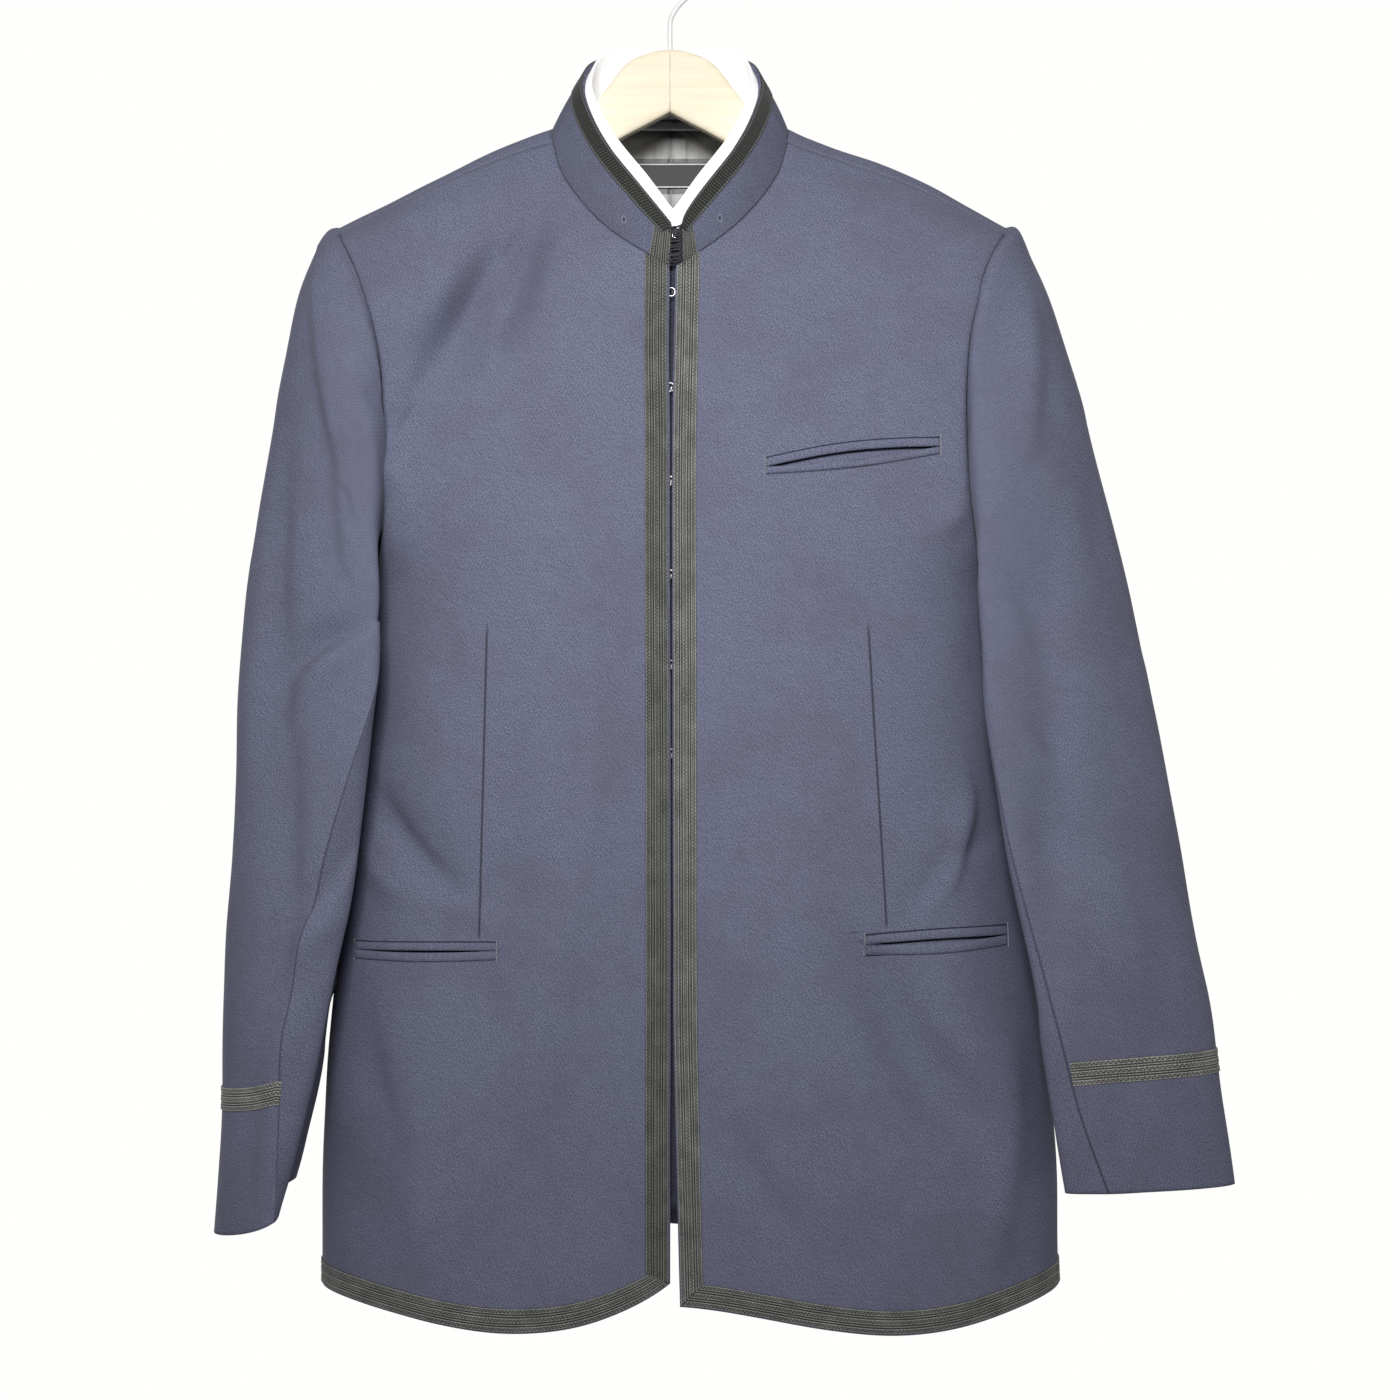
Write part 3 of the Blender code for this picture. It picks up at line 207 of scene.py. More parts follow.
# Finer creases, as the twill shows them at the armholes, the waist and the hips.
CREASE_GAIN = 2.3         # they are all drawn this much deeper than their heights say
CREASES = {
    ("front", LEFT): (
        (-186, -300, -150, -262, 4, 8, 10, -0.9),
        (-190, -330, -158, -318, 3, 7, 10, -0.8),
        (-189, -352, -166, -372, -3, 6, 10, 1.4),
        (-183, -566, -140, -618, 4, 6, 12, -1.8),
        (-196, -600, -168, -628, 3, 5, 10, 1.4),
        (-186, -598, -119, -641, 4, 7, 12, 1.6),
        (-120, -640, -90, -600, 0, 12, 16, -1.2),
        (-64, -430, -70, -640, -5, 9, 22, -2.4),
        (-60, -660, -58, -830, 4, 14, 26, -1.6),
        (-196, -700, -168, -790, 6, 12, 18, -1.8),
        (-168, -770, -150, -868, 0, 12, 20, 1.6),
    ),
    ("front", RIGHT): (
        (188, -322, 160, -296, 3, 5, 9, -1.0),
        (186, -378, 168, -398, -3, 6, 10, 1.2),
        (192, -560, 178, -622, -3, 5, 9, 2.0),
        (206, -590, 150, -640, 6, 8, 12, -1.3),
        (128, -676, 190, -778, 8, 9, 20, -2.0),
        (44, -775, 76, -836, 3, 8, 14, -1.6),
        (150, -690, 215, -742, 5, 14, 16, 1.2),
        (66, -430, 60, -620, 4, 20, 14, -1.4),
        (218, -720, 206, -860, -5, 10, 14, 1.6),
    ),
    ("back", LEFT): (
        (-184, -300, -120, -345, 6, 8, 14, -2.2),
        (-188, -350, -130, -410, 6, 9, 16, 2.0),
        (-186, -470, -110, -560, 8, 9, 16, -2.6),
        (-60, -560, -66, -800, 4, 12, 22, -2.2),
        (-150, -640, -90, -700, -4, 10, 16, 1.8),
        (-30, -180, -120, -215, 6, 9, 14, -1.6),
    ),
    ("back", RIGHT): (
        (190, -310, 128, -350, -6, 9, 14, -2.0),
        (196, -372, 140, -432, -6, 10, 15, 2.2),
        (202, -500, 118, -590, -8, 10, 16, -2.4),
        (64, -600, 74, -840, -4, 13, 20, -2.0),
        (160, -660, 100, -716, 4, 10, 15, 1.6),
        (36, -172, 128, -216, -6, 10, 13, -1.5),
    ),
}
# Pocket mouths, where the front sinks in: a line from x0, z0 to x1, z1, the widths of the
# jets above and below it, and how far it arches up and drops down at its middle.
POCKET_COLUMNS = ("x0", "z0", "x1", "z1", "upper", "lower", "arch", "drop")
POCKETS = {
    ("breast", RIGHT): (61.0, -356.8, 171.0, -343.2, 5.3, 4.4, 3.6, 2.4),
    ("hip", LEFT): (-107.5, -661.0, -203.0, -663.5, 5.0, 5.4, 0.4, 1.0),
    ("hip", RIGHT): (124.0, -657.5, 217.0, -654.0, 5.8, 6.2, 1.4, 1.6),
}
POCKET_DEPTH = 3.2        # how far the front sinks there
SLOT_WIDTH = 2.2          # of the sunk slot at a mouth's ends
SEAM_DIP = 0.7            # how far the cloth dips along the side and armhole seams

# Rows and columns of each front's mesh. The rows stand closer together in the bands of
# height that hold the pocket mouths.
FRONT_SPACING, FRONT_SHARES = 3.0, 104
FINE_BANDS, FINE_SPACING = ((-363.0, -336.0), (-671.0, -648.0)), 0.9

# A dart in each front from x0, z0 down to x1, z1.
DARTS = {LEFT: (-114.5, -451.0, -119.6, -655.0), RIGHT: (125.4, -451.0, 137.4, -648.0)}


def column(rows, names, name):
    """One named column of a table, as an array."""
    return np.array([row[names.index(name)] for row in rows], dtype=float)


def through(values, at, knots):
    """Cubic Hermite spans through values at rows 0, 1, 2..., read at the given rows. The
    slope at a row follows its two neighbours over the real distances in knots."""
    slope = np.gradient(values, knots, axis=0)
    first = np.clip(np.floor(at).astype(int), 0, len(values) - 2)
    t = at - first
    span = knots[first + 1] - knots[first]
    if values.ndim > 1:
        t, span = t[..., None], span[..., None]
    return ((2 * t**3 - 3 * t**2 + 1) * values[first]
            + (t**3 - 2 * t**2 + t) * span * slope[first]
            + (3 * t**2 - 2 * t**3) * values[first + 1]
            + (t**3 - t**2) * span * slope[first + 1])


def through_corner(values, at, knots, corner):
    """The same curve with a corner at one of its rows."""
    below = through(values[:corner + 1], np.minimum(at, corner), knots[:corner + 1])
    above = through(values[corner:], np.maximum(at - corner, 0), knots[corner:])
    pick = at <= corner
    return np.where(pick[..., None] if values.ndim > 1 else pick, below, above)


def path_lengths(points):
    """Distances along a line of points from its first one."""
    steps = np.linalg.norm(np.diff(points, axis=0), axis=-1)
    return np.concatenate([[0.0], np.cumsum(steps)])


def panel_rows(piece, side):
    """A panel's inner and outer points, fullness, sag and real distances, by row."""
    hand = HANDS[side]
    if piece == "front":
        rows, names = FRONT_ROWS, FRONT_COLUMNS
        inner_x = column(rows, names, "in_" + hand)
        inner_x[NECK_ROW + 1:] *= side
        inner_z = column(rows, names, "in_z_" + hand)
    else:
        rows, names = BACK_ROWS, BACK_COLUMNS
        inner_x = side * column(rows, names, "in_x")
        inner_z = column(rows, names, "in_z")
    inner = np.stack([inner_x, column(rows, names, "in_y"), inner_z], axis=-1)
    outer = np.stack([side * column(rows, names, "out_" + hand),
                      column(rows, names, "out_y"), column(rows, names, "out_z")], axis=-1)
    fullness = column(rows, names, "full_y")
    sag = column(rows, names, "sag_" + hand)
    return inner, outer, fullness, sag, path_lengths((inner + outer) / 2)


def fold_height(rows, x, z):
    """Folds, in millimetres: a bell across each bowed line, fading to its two ends."""
    height = np.zeros_like(x)
    for row in rows:
        fold = dict(zip(FOLD_COLUMNS, row))
        dx, dz = fold["x1"] - fold["x0"], fold["z1"] - fold["z0"]
        length = math.hypot(dx, dz)
        run = ((x - fold["x0"]) * dx + (z - fold["z0"]) * dz) / length**2
        off = ((x - fold["x0"]) * dz - (z - fold["z0"]) * dx) / length
        off = off - fold["bow"] * 4 * run * (1 - run)
        beyond = np.abs(run - np.clip(run, 0, 1)) * length
        width = np.where(off < 0, fold["left"], fold["right"])
        fade = 0.35 + 0.65 * np.sin(np.pi * np.clip(run, 0, 1))
        height += fold["height"] * fade * np.exp(-(off**2 + beyond**2) / width**2)
    return height


# Slow waves of the cloth: a height, a length across and one up, and a share of the turn.
WAVES = (
    (0.30, 17.0, 41.0, 1.0),
    (0.26, 29.0, -23.0, 2.1),
    (0.14, 9.0, 13.0, 3.7),
    (0.10, 7.0, -17.0, -1.0),
)


def unevenness(x, z, turn):
    """The cloth's slight waviness, in millimetres: four slow waves that cross. The turn
    shifts them, so that no two panels are alike."""
    return sum(height * np.sin(x / across + z / up + shift * turn)
               for height, across, up, shift in WAVES)


def panel(piece, side, across, level):
    """A panel's surface in millimetres, at shares of the way across and at rows.

    Across, x goes as a sine and depth as a power of a cosine, so that the panel is full
    in its middle and turns back to the side seam; the folds stand out from that.
    """
    inner, outer, full_y, sag, knots = panel_rows(piece, side)
    across, level = np.broadcast_arrays(across, level)
    level = np.clip(level, 0, LAST_ROW)
    angle = across * math.pi / 2
    run = np.sin(angle)
    turn = np.where(angle < math.pi / 2 - 1e-6, np.cos(angle), 0.0) ** SECTION_ROUND
    start = through_corner(inner, level, knots, NECK_ROW)
    end = through_corner(outer, level, knots, ARMPIT_ROW)
    full = through(full_y, level, knots)
    side_y = outer[:, 1].copy()
    for _ in range(4):
        around = np.concatenate([side_y[:1], side_y, side_y[-1:]])
        side_y = (around[:-2] + 2 * side_y + around[2:]) / 4
    side_y[-2:] = outer[-2:, 1]
    side_depth = through(side_y, level, knots)
    points = start + (end - start) * run[..., None]
    points[..., 1] = (side_depth + (full - side_depth) * turn
                      + (start[..., 1] - full) * (1 - run) ** 2
                      + (end[..., 1] - side_depth) * run**10)
    dip = np.clip(np.sin(math.pi * run**SAG_SHAPE[side]), 0, 1) ** SAG_NARROWNESS
    points[..., 2] -= through(sag, level, knots) * dip
    outward = -1.0 if piece == "front" else 1.0
    fade = np.sqrt(np.clip(np.sin(math.pi * run), 0, 1))
    folds = fold_height(FOLDS[piece, side], points[..., 0], points[..., 2])
    points[..., 1] += outward * folds * fade
    return points


def unit(vectors):
    """The vectors, each at a length of 1."""
    return vectors / (np.linalg.norm(vectors, axis=-1, keepdims=True) + 1e-12)


def grid_normals(points, facing):
    """Unit normals of a grid of points, on the side that facing points to."""
    normals = unit(np.cross(np.gradient(points, axis=1), np.gradient(points, axis=0)))
    return normals if np.sum(normals * np.asarray(facing)) > 0 else -normals


def pocket_sink(side, x, z):
    """How deep the front sinks at the pocket mouths, in millimetres."""
    depth = np.zeros_like(x)
    for (_, pocket_side), row in POCKETS.items():
        if pocket_side != side:
            continue
        pocket = dict(zip(POCKET_COLUMNS, row))
        share = np.clip((x - pocket["x0"]) / (pocket["x1"] - pocket["x0"]), 0, 1)
        bow = np.sin(math.pi * share)
        mouth = pocket["z0"] + (pocket["z1"] - pocket["z0"]) * share
        inside = np.clip(np.minimum(share, 1 - share) / 0.03, 0, 1)
        gape = SLOT_WIDTH + (pocket["arch"] + pocket["drop"]) * bow
        below = (mouth + pocket["arch"] * bow - z) / gape
        slot = np.clip(np.minimum(below + 0.5, 1.0 - below) / 0.5, 0, 1)
        depth += POCKET_DEPTH * inside * slot * np.clip(1.3 - below, 0.2, 1)
    return depth


def dressed_panel(piece, side, across, level, lift=0.0):
    """The panel with its creases, moved out along its normals by lift, in millimetres.

    The creases and the cloth's waviness fade at the neckline and the seams, so that the
    panels still meet there, and the cloth dips along its seams.
    """
    points = panel(piece, side, across, level)
    normals = grid_normals(points, (0, -1, 0) if piece == "front" else (0, 1, 0))
    x, z = points[..., 0], points[..., 2]
    across, level = np.broadcast_arrays(across, level)
    seam = np.clip((1 - across) / 0.05, 0, 1) * np.clip((LAST_ROW - level) / 0.8, 0, 1)
    if piece == "back":
        seam = seam * np.clip(across / 0.05, 0, 1)
    neck = np.clip(across / 0.03, 0, 1)
    seam = seam * np.where(level > NECK_ROW, neck, 1)
    height = CREASE_GAIN * fold_height(CREASES[piece, side], x, z) + unevenness(x, z, 1.3 * side)
    height = height * seam * seam * (3 - 2 * seam)
    height = height - SEAM_DIP * np.exp(-((1 - across) / 0.012) ** 2) * (level > ARMPIT_ROW + 0.3)
    if piece == "front":
        height = height - pocket_sink(side, x, z)
    return points + normals * (height + lift)[..., None]


def even_levels(piece, side, across, spacing, bands=()):
    """Rows at even distances up the panel, and closer ones within the bands of height."""
    fine = np.linspace(0, LAST_ROW, 1401)
    line = panel(piece, side, np.full(fine.shape, across), fine)
    run = path_lengths(line)
    marks = [np.linspace(0, run[-1], int(run[-1] / spacing) + 1)]
    for low, high in bands:
        first, last = np.interp([low, high], line[:, 2], run)
        marks.append(np.arange(first, last, FINE_SPACING))
    marks = np.unique(np.concatenate(marks).round(3))
    keep = np.concatenate([[True], np.diff(marks) > 0.4])
    keep[-1] = True
    return np.interp(marks[keep], run, fine)


def surface_lengths(points):
    """Distances along the rows and up the columns of a grid, for its UV map."""
    along = np.linalg.norm(np.diff(points, axis=1), axis=-1)
    along = np.concatenate([np.zeros((len(points), 1)), np.cumsum(along, axis=1)], axis=1)
    up = np.linalg.norm(np.diff(points, axis=0), axis=-1)
    up = np.concatenate([np.zeros((1, points.shape[1])), np.cumsum(up, axis=0)], axis=0)
    return along, up


def length_map(points):
    """A UV map in millimetres that follows the surface both ways."""
    return np.stack(surface_lengths(points), axis=-1)


def upright_grain(points):
    """A panel's UV map with the cloth's grain upright: across from the middle of the body
    along each row, and up by height."""
    along, _ = surface_lengths(points)
    across = np.sign(points[:, -1:, 0]) * (np.abs(points[:, :1, 0]) + along)
    return np.stack([across, points[..., 2]], axis=-1)


def grid_object(name, points, uv, finish, facing=None, thickness=0.0):
    """A mesh through a grid of points in millimetres, with a UV map in millimetres.

    facing turns its faces, and a thickness grows a wall inwards from them.
    """
    rows, columns = points.shape[:2]
    index = np.arange(rows * columns).reshape(rows, columns)
    quads = np.stack([index[:-1, :-1], index[:-1, 1:], index[1:, 1:], index[1:, :-1]], -1)
    if facing is not None:
        normals = np.cross(points[:-1, 1:] - points[:-1, :-1], points[1:, :-1] - points[:-1, :-1])
        if np.sum(normals * np.asarray(facing)) < 0:
            quads = quads[..., ::-1]
    return mesh_object(name, points.reshape(-1, 3), quads.reshape(-1, 4),
                       uv.reshape(-1, 2), finish, thickness)


def mesh_object(name, points, faces, uv, finish, thickness=0.0):
    """A smooth mesh from arrays of points, faces and one UV for each point."""
    mesh = bpy.data.meshes.new(name)
    mesh.from_pydata((points * MM).tolist(), [], faces.tolist())
    layer = mesh.uv_layers.new(name="weave")
    loops = np.empty(len(mesh.loops), dtype=np.int32)
    mesh.loops.foreach_get("vertex_index", loops)
    layer.data.foreach_set("uv", uv[loops].astype(np.float32).ravel())
    mesh.shade_smooth()
    mesh.materials.append(finish)
    made = bpy.data.objects.new(name, mesh)
    bpy.context.scene.collection.objects.link(made)
    if thickness:
        wall = made.modifiers.new("wall", "SOLIDIFY")
        wall.thickness = thickness
        wall.offset = -1.0
        wall.use_even_offset = False
    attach(made, "root")
    return made


class Shade:
    """A shader output. Operators on it add the Math nodes that work the value out."""

    def __init__(self, finish, socket):
        self.finish, self.socket = finish, socket

    def __add__(self, other):
        return self.finish.math("ADD", self, other)

    def __sub__(self, other):
        return self.finish.math("SUBTRACT", self, other)

    def __rsub__(self, other):
        return self.finish.math("SUBTRACT", other, self)

    def __mul__(self, other):
        return self.finish.math("MULTIPLY", self, other)

    def __truediv__(self, other):
        return self.finish.math("DIVIDE", self, other)

    def __rtruediv__(self, other):
        return self.finish.math("DIVIDE", other, self)

    def __pow__(self, other):
        return self.finish.math("POWER", self, other)

    def __abs__(self):
        return self.finish.math("ABSOLUTE", self, 0.0)

    __radd__, __rmul__ = __add__, __mul__

    def sine(self):
        """The sine, in radians."""
        return self.finish.math("SINE", self, 0.0)

    def fraction(self):
        """What is left above the whole number below."""
        return self.finish.math("FRACT", self, 0.0)

    def ramp(self, low, high):
        """Goes smoothly from 0 at low to 1 at high."""
        return self.finish.node("ShaderNodeMapRange", {"interpolation_type": "SMOOTHSTEP"},
                                {"Value": self, "From Min": low, "From Max": high})


class Finish:
    """One material, and the nodes that are added to it. The constants are sockets of its
    shader, with _ for a space."""

    def __init__(self, name, roughness, **constants):
        self.material = bpy.data.materials.new(name)
        self.material.use_nodes = True
        self.tree = self.material.node_tree
        self.shader = self.tree.nodes["Principled BSDF"]
        self.shader.inputs["Roughness"].default_value = roughness
        for socket, value in constants.items():
            self.shader.inputs[socket.replace("_", " ")].default_value = value

    def put(self, socket, value):
        """Links a shader output to a socket, or sets the socket to a plain value."""
        if isinstance(value, Shade):
            self.tree.links.new(value.socket, socket)
        elif isinstance(value, tuple) and len(value) == 3 and socket.type == "RGBA":
            socket.default_value = (*value, 1.0)
        else:
            socket.default_value = value

    def node(self, kind, settings, inputs, output=0):
        """A node of this kind. Its settings come before its inputs."""
        made = self.tree.nodes.new(kind)
        for setting, value in settings.items():
            setattr(made, setting, value)
        for key, value in inputs.items():
            self.put(made.inputs[key], value)
        return Shade(self, made.outputs[output])

    def math(self, operation, first, second):
        """One Math node on two values."""
        return self.node("ShaderNodeMath", {"operation": operation}, {0: first, 1: second})

    def mix(self, share, first, second):
        """A colour between two, by share."""
        return self.node("ShaderNodeMix", {"data_type": "RGBA"},
                         {0: share, 6: first, 7: second}, 2)

    def vector(self, x, y):
        """A place made of two values."""
        return self.node("ShaderNodeCombineXYZ", {}, {0: x, 1: y})

    def noise(self, where, scale, detail=2.0):
        """Soft noise from 0 to 1, with this many grains to a unit of where."""
        return self.node("ShaderNodeTexNoise", {}, {"Vector": where, "Scale": scale,
                                                    "Detail": detail, "Roughness": 0.6})

    def coordinates(self, kind):
        """Object or UV coordinates as a vector and its three parts."""
        whole = self.node("ShaderNodeTexCoord", {}, {}, kind)
        split = self.tree.nodes.new("ShaderNodeSeparateXYZ")
        self.tree.links.new(whole.socket, split.inputs[0])
        return whole, [Shade(self, part) for part in split.outputs]

    def finish(self, colour, height=None, distance=0.0003, strength=1.0):
        """Sets the colour, and the relief through a Bump node."""
        self.put(self.shader.inputs["Base Color"], colour)
        if height is not None:
            bump = self.node("ShaderNodeBump", {}, {"Height": height, "Distance": distance,
                                                    "Strength": strength})
            self.put(self.shader.inputs["Normal"], bump)
        return self.material


CLOTH_DARK = (0.072, 0.077, 0.122)
CLOTH_LIGHT = (0.225, 0.238, 0.340)
CLOTH_WARM = (0.192, 0.180, 0.258)
SEAM_DARK = (0.016, 0.017, 0.027)
TWILL_PITCH = 2.1         # millimetres across one diagonal rib
FLOAT_PITCH = 1.7         # and along it from one raised yarn to the next
TWILL_RISE = math.radians(58)


def twill(name, draw=None, rise=TWILL_RISE, tone=1.0):
    """Navy twill: diagonal ribs that waver, broken into yarns, over a mix of dark and
    light fibres. draw adds a piece's seams to its colour and relief, and on the fronts
    painted shade in the pocket mouths; a tone below 1 darkens it, as painted shade."""
    dark, pale, purple = (tuple(part * tone for part in colour)
                          for colour in (CLOTH_DARK, CLOTH_LIGHT, CLOTH_WARM))
    cloth = Finish(name, 0.85, Sheen_Weight=0.08, Sheen_Roughness=0.4,
                   Specular_IOR_Level=0.2)
    weave, (u, v, _) = cloth.coordinates("UV")
    place, _ = cloth.coordinates("Object")
    waver = cloth.noise(weave, 0.05, 2.0)
    across = v * math.cos(rise) - u * math.sin(rise) + waver * 3.0
    along = u * math.cos(rise) + v * math.sin(rise)
    rib = (across * (2 * math.pi / TWILL_PITCH)).sine()
    floats = rib * (along * (2 * math.pi / FLOAT_PITCH)).sine()
    yarn = cloth.noise(cloth.vector(across * 1.7, along * 0.75), 1.0, 2.0)
    fibre = cloth.noise(weave, 1.9, 2.0)
    mottle = cloth.noise(weave, 0.12, 3.0)
    drift = cloth.noise(place, 16.0, 3.0)
    light = (rib * 0.05 + floats * 0.16 + (yarn - 0.5) * 1.9 + (fibre - 0.5) * 2.2
             + (mottle - 0.5) * 0.2 + 0.45)
    colour = cloth.mix(light.ramp(0.0, 1.0), dark, pale)
    warm = cloth.mix(light.ramp(0.0, 1.0), dark, purple)
    colour = cloth.mix(drift.ramp(0.42, 0.66) * 0.6, colour, warm)
    height = rib * 0.12 + yarn * 0.45 + fibre * 0.25
    if draw:
        colour, height = draw(cloth, colour, height)
    return cloth.finish(colour, height, 0.00022, 0.6)


def groove(cloth, colour, height, share, depth=0.72):
    """A stitched-in line: darker by its depth and lower, both by share."""
    return cloth.mix(share * depth, colour, SEAM_DARK), height - share * 4.0


def front_seams(side):
    """Draws a front's dart, the seams of each of its pockets, and painted shade in each pocket's
    mouth.
    """
    def draw(cloth, colour, height):
        """A dart is dark where x is near its line. A seam is dark where z is near the bowed mouth
        of a pocket, moved up or down, and so is the slit just below the upper jet, as painted
        shade."""
        _, (x, _, z) = cloth.coordinates("Object")
        x, z = x * 1000.0, z * 1000.0
        x0, z0, x1, z1 = DARTS[side]
        off = abs(x - (z - z0) * ((x1 - x0) / (z1 - z0)) - x0)
        within = z.ramp(z1, z1 + 4.0) * (1.0 - z.ramp(z0 - 14.0, z0))
        colour, height = groove(cloth, colour, height, (1.0 - off.ramp(0.1, 1.1)) * within)
        for (_, pocket_side), row in POCKETS.items():
            if pocket_side != side:
                continue
            pocket = dict(zip(POCKET_COLUMNS, row))
            share = (x - pocket["x0"]) / (pocket["x1"] - pocket["x0"])
            inside = share.ramp(-0.004, 0.004) * (1.0 - share.ramp(0.996, 1.004))
            bow = (share * math.pi).sine()
            over = z - (share * (pocket["z1"] - pocket["z0"]) + pocket["z0"])
            upper = over - bow * pocket["arch"]
            lower = over + bow * pocket["drop"]
            # The last line darkens the slit below the upper jet: painted shade in the pocket
            # mouth.
            for edge, wide, deep in ((upper - (pocket["upper"] + 0.25), 0.75, 0.85),
                                     (lower + (pocket["lower"] + 0.25), 0.75, 0.6),
                                     (upper + 0.5, 1.5, 0.95)):
                line = (1.0 - abs(edge).ramp(0.15, wide)) * inside
                colour, height = groove(cloth, colour, height, line, deep)
        return colour, height
    return draw


for side, hand in HANDS.items():
    levels = even_levels("front", side, 0.45, FRONT_SPACING, FINE_BANDS)[:, None]
    shares = np.linspace(0, 1, FRONT_SHARES)[None, :]
    points = dressed_panel("front", side, shares, levels)
    front = grid_object("cloth_front_" + hand, points, upright_grain(points),
                        twill("twill_front_" + hand, front_seams(side)), (0, -1, 0),
                        CLOTH_THICKNESS)
    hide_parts("front_" + hand)


# Back halves. Two panels of the same twill, joined down the middle of the back and
# shaped by that seam. They carry the weight on the hanger at the shoulders.
BACK_SPACING, BACK_SHARES = 4.0, 66
MIDDLE_DIP, MIDDLE_REACH = 0.8, 2.5    # of the cloth along the middle seam
cloth_finish = twill("twill")

for side, hand in HANDS.items():
    levels = even_levels("back", side, 0.45, BACK_SPACING)[:, None]
    shares = np.linspace(0, 1, BACK_SHARES)[None, :]
    points = dressed_panel("back", side, shares, levels)
    points[..., 1] -= MIDDLE_DIP * np.exp(-(points[..., 0] / MIDDLE_REACH) ** 2)
    back = grid_object("cloth_back_" + hand, points, upright_grain(points) * (-1, 1),
                       cloth_finish, (0, 1, 0), CLOTH_THICKNESS)
    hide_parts("back_" + hand)


# Sleeves. Each is a top and an under sleeve of twill, eased into the armhole with a
# slight roll at its head and seamed down the front of the arm and behind the elbow.

# Rows from the armhole to the cuff: the outer and inner lines, the front and back, and
# how far the front leans in to the body.
SLEEVE_COLUMNS = ("out_x", "out_z", "in_x", "in_z", "front_y", "back_y", "lean")
SLEEVE_ROWS = {
    LEFT: (
        (215.6, -202, 195.8, -432, -50, 47, 22),
        (225.0, -206, 197.5, -437, -56, 52, 26),
        (233.5, -219, 198.5, -443, -61, 55, 30),
        (243.0, -245, 199.5, -451, -66, 56, 35),
        (253.5, -297, 201.0, -462, -70, 56, 40),
        (265.0, -362, 202.5, -480, -73, 55, 48),
        (273.5, -425, 204.5, -508, -76, 53, 52),
        (278.0, -510, 207.5, -562, -79, 50, 52),
        (282.5, -600, 213.0, -630, -83, 46, 49),
        (286.0, -670, 218.5, -690, -86, 40, 40),
        (287.5, -730, 225.0, -742, -88, 34, 34),
        (287.5, -785, 235.0, -788, -90, 28, 28),
        (290.5, -842, 241.0, -812, -91, 24, 21),
    ),
    RIGHT: (
        (218.9, -201, 208.8, -432, -50, 47, 24),
        (227.5, -202, 210.5, -437, -55, 51, 28),
        (236.0, -217, 211.5, -442, -59, 53, 32),
        (248.0, -243, 212.5, -449, -63, 53, 36),
        (261.0, -286, 213.5, -460, -67, 52, 40),
        (276.0, -340, 215.0, -476, -70, 50, 47),
        (293.5, -412, 217.5, -500, -73, 46, 53),
        (307.5, -480, 222.0, -550, -76, 40, 56),
        (325.5, -577, 230.5, -615, -78, 32, 57),
        (339.5, -660, 239.5, -680, -79, 22, 53),
        (347.5, -705, 245.0, -717, -78, 14, 53),
        (354.5, -762, 250.5, -766, -75, 4, 50),
        (361.0, -812, 254.5, -814, -71, -4, 44),
    ),
}
# How far round the sleeve from its outer line the front seam lies, in degrees, by row.
FRONT_SEAM = {
    LEFT: (140, 138, 136, 134, 130, 124, 112, 86, 69, 65, 66, 75, 94),
    RIGHT: (140, 138, 136, 134, 130, 125, 120, 112, 102, 95, 90, 85, 79),
}
BACK_SEAM = 255.0         # the same for the back seam, at every row
SLEEVE_END = 12
HEAD_ROWS = 4.0           # the rows over which the sleeve's head is drawn to the armhole
HEAD_ROLL, HEAD_PUCKER = 0.6, 0.35
BACK_CREASES_LOWER = 35.0    # how far below the front's creases the back's lie
UNDER_HOLLOW = {LEFT: 19.0, RIGHT: 3.0}    # how far it falls in beside its front seam
SEAM_GAP = 0.1            # each part stops this short of the seam
SLEEVE_COUNTS = {"top": 88, "under": 44}    # of columns in each part's mesh
# Creases of each sleeve's front, in the columns of the folds.
SLEEVE_CREASES = {
    LEFT: (
        (-227, -228, -202, -367, 2.4, 24, 5, 3.3),
        (-206, -352, -200, -420, 2, 16, 5, 2.0),
        (-246, -330, -244, -500, 4, 9, 16, -2.4),
        (-244, -500, -243, -690, -4, 10, 18, -2.6),
        (-190, -457, -243, -492, 5, 4, 12, -3.4),
        (-196, -468, -236, -512, 5, 9, 7, 2.0),
        (-198, -590, -238, -644, -5, 5, 12, -2.8),
        (-206, -640, -232, -668, 3, 6, 9, 1.6),
        (-192, -306, -182, -316, 0, 3, 6, -1.4),
        (-196, -330, -216, -410, -6, 10, 14, -1.6),
        (-262, -420, -268, -560, 3, 8, 12, 1.6),
        (-258, -740, -262, -810, 3, 9, 12, -1.4),
        (-232, -700, -250, -760, 4, 8, 10, 1.4),
    ),
    RIGHT: (
        (228, -240, 226, -345, -3, 9, 12, 2.4),
        (236, -400, 234, -690, -8, 12, 18, -2.6),
        (204, -420, 240, -470, -6, 8, 12, -1.8),
        (206, -500, 262, -560, 6, 9, 16, 1.6),
        (222, -560, 290, -610, 8, 10, 18, -1.6),
        (262, -560, 296, -700, -5, 14, 20, 1.6),
        (250, -660, 300, -720, 4, 10, 16, -1.4),
        (280, -740, 296, -806, 3, 12, 14, -1.2),
        (268, -330, 300, -470, 4, 10, 14, -1.4),
    ),
}


def armhole(side):
    """The armhole's edge from the shoulder down the front to the armpit and up the back,
    and the turn round the sleeve, in degrees, that each of its points has."""
    rows = np.linspace(ARMPIT_ROW, LAST_ROW, 161)
    ends = np.ones_like(rows)
    front = panel("front", side, ends, rows)[::-1]
    back = panel("back", side, ends, rows)

    down, up = path_lengths(front), path_lengths(back)
    loop = np.concatenate([front, back[1:]])
    turn = np.concatenate([180 * (down / down[-1]), 180 + 180 * (up / up[-1])[1:]])
    return loop, turn


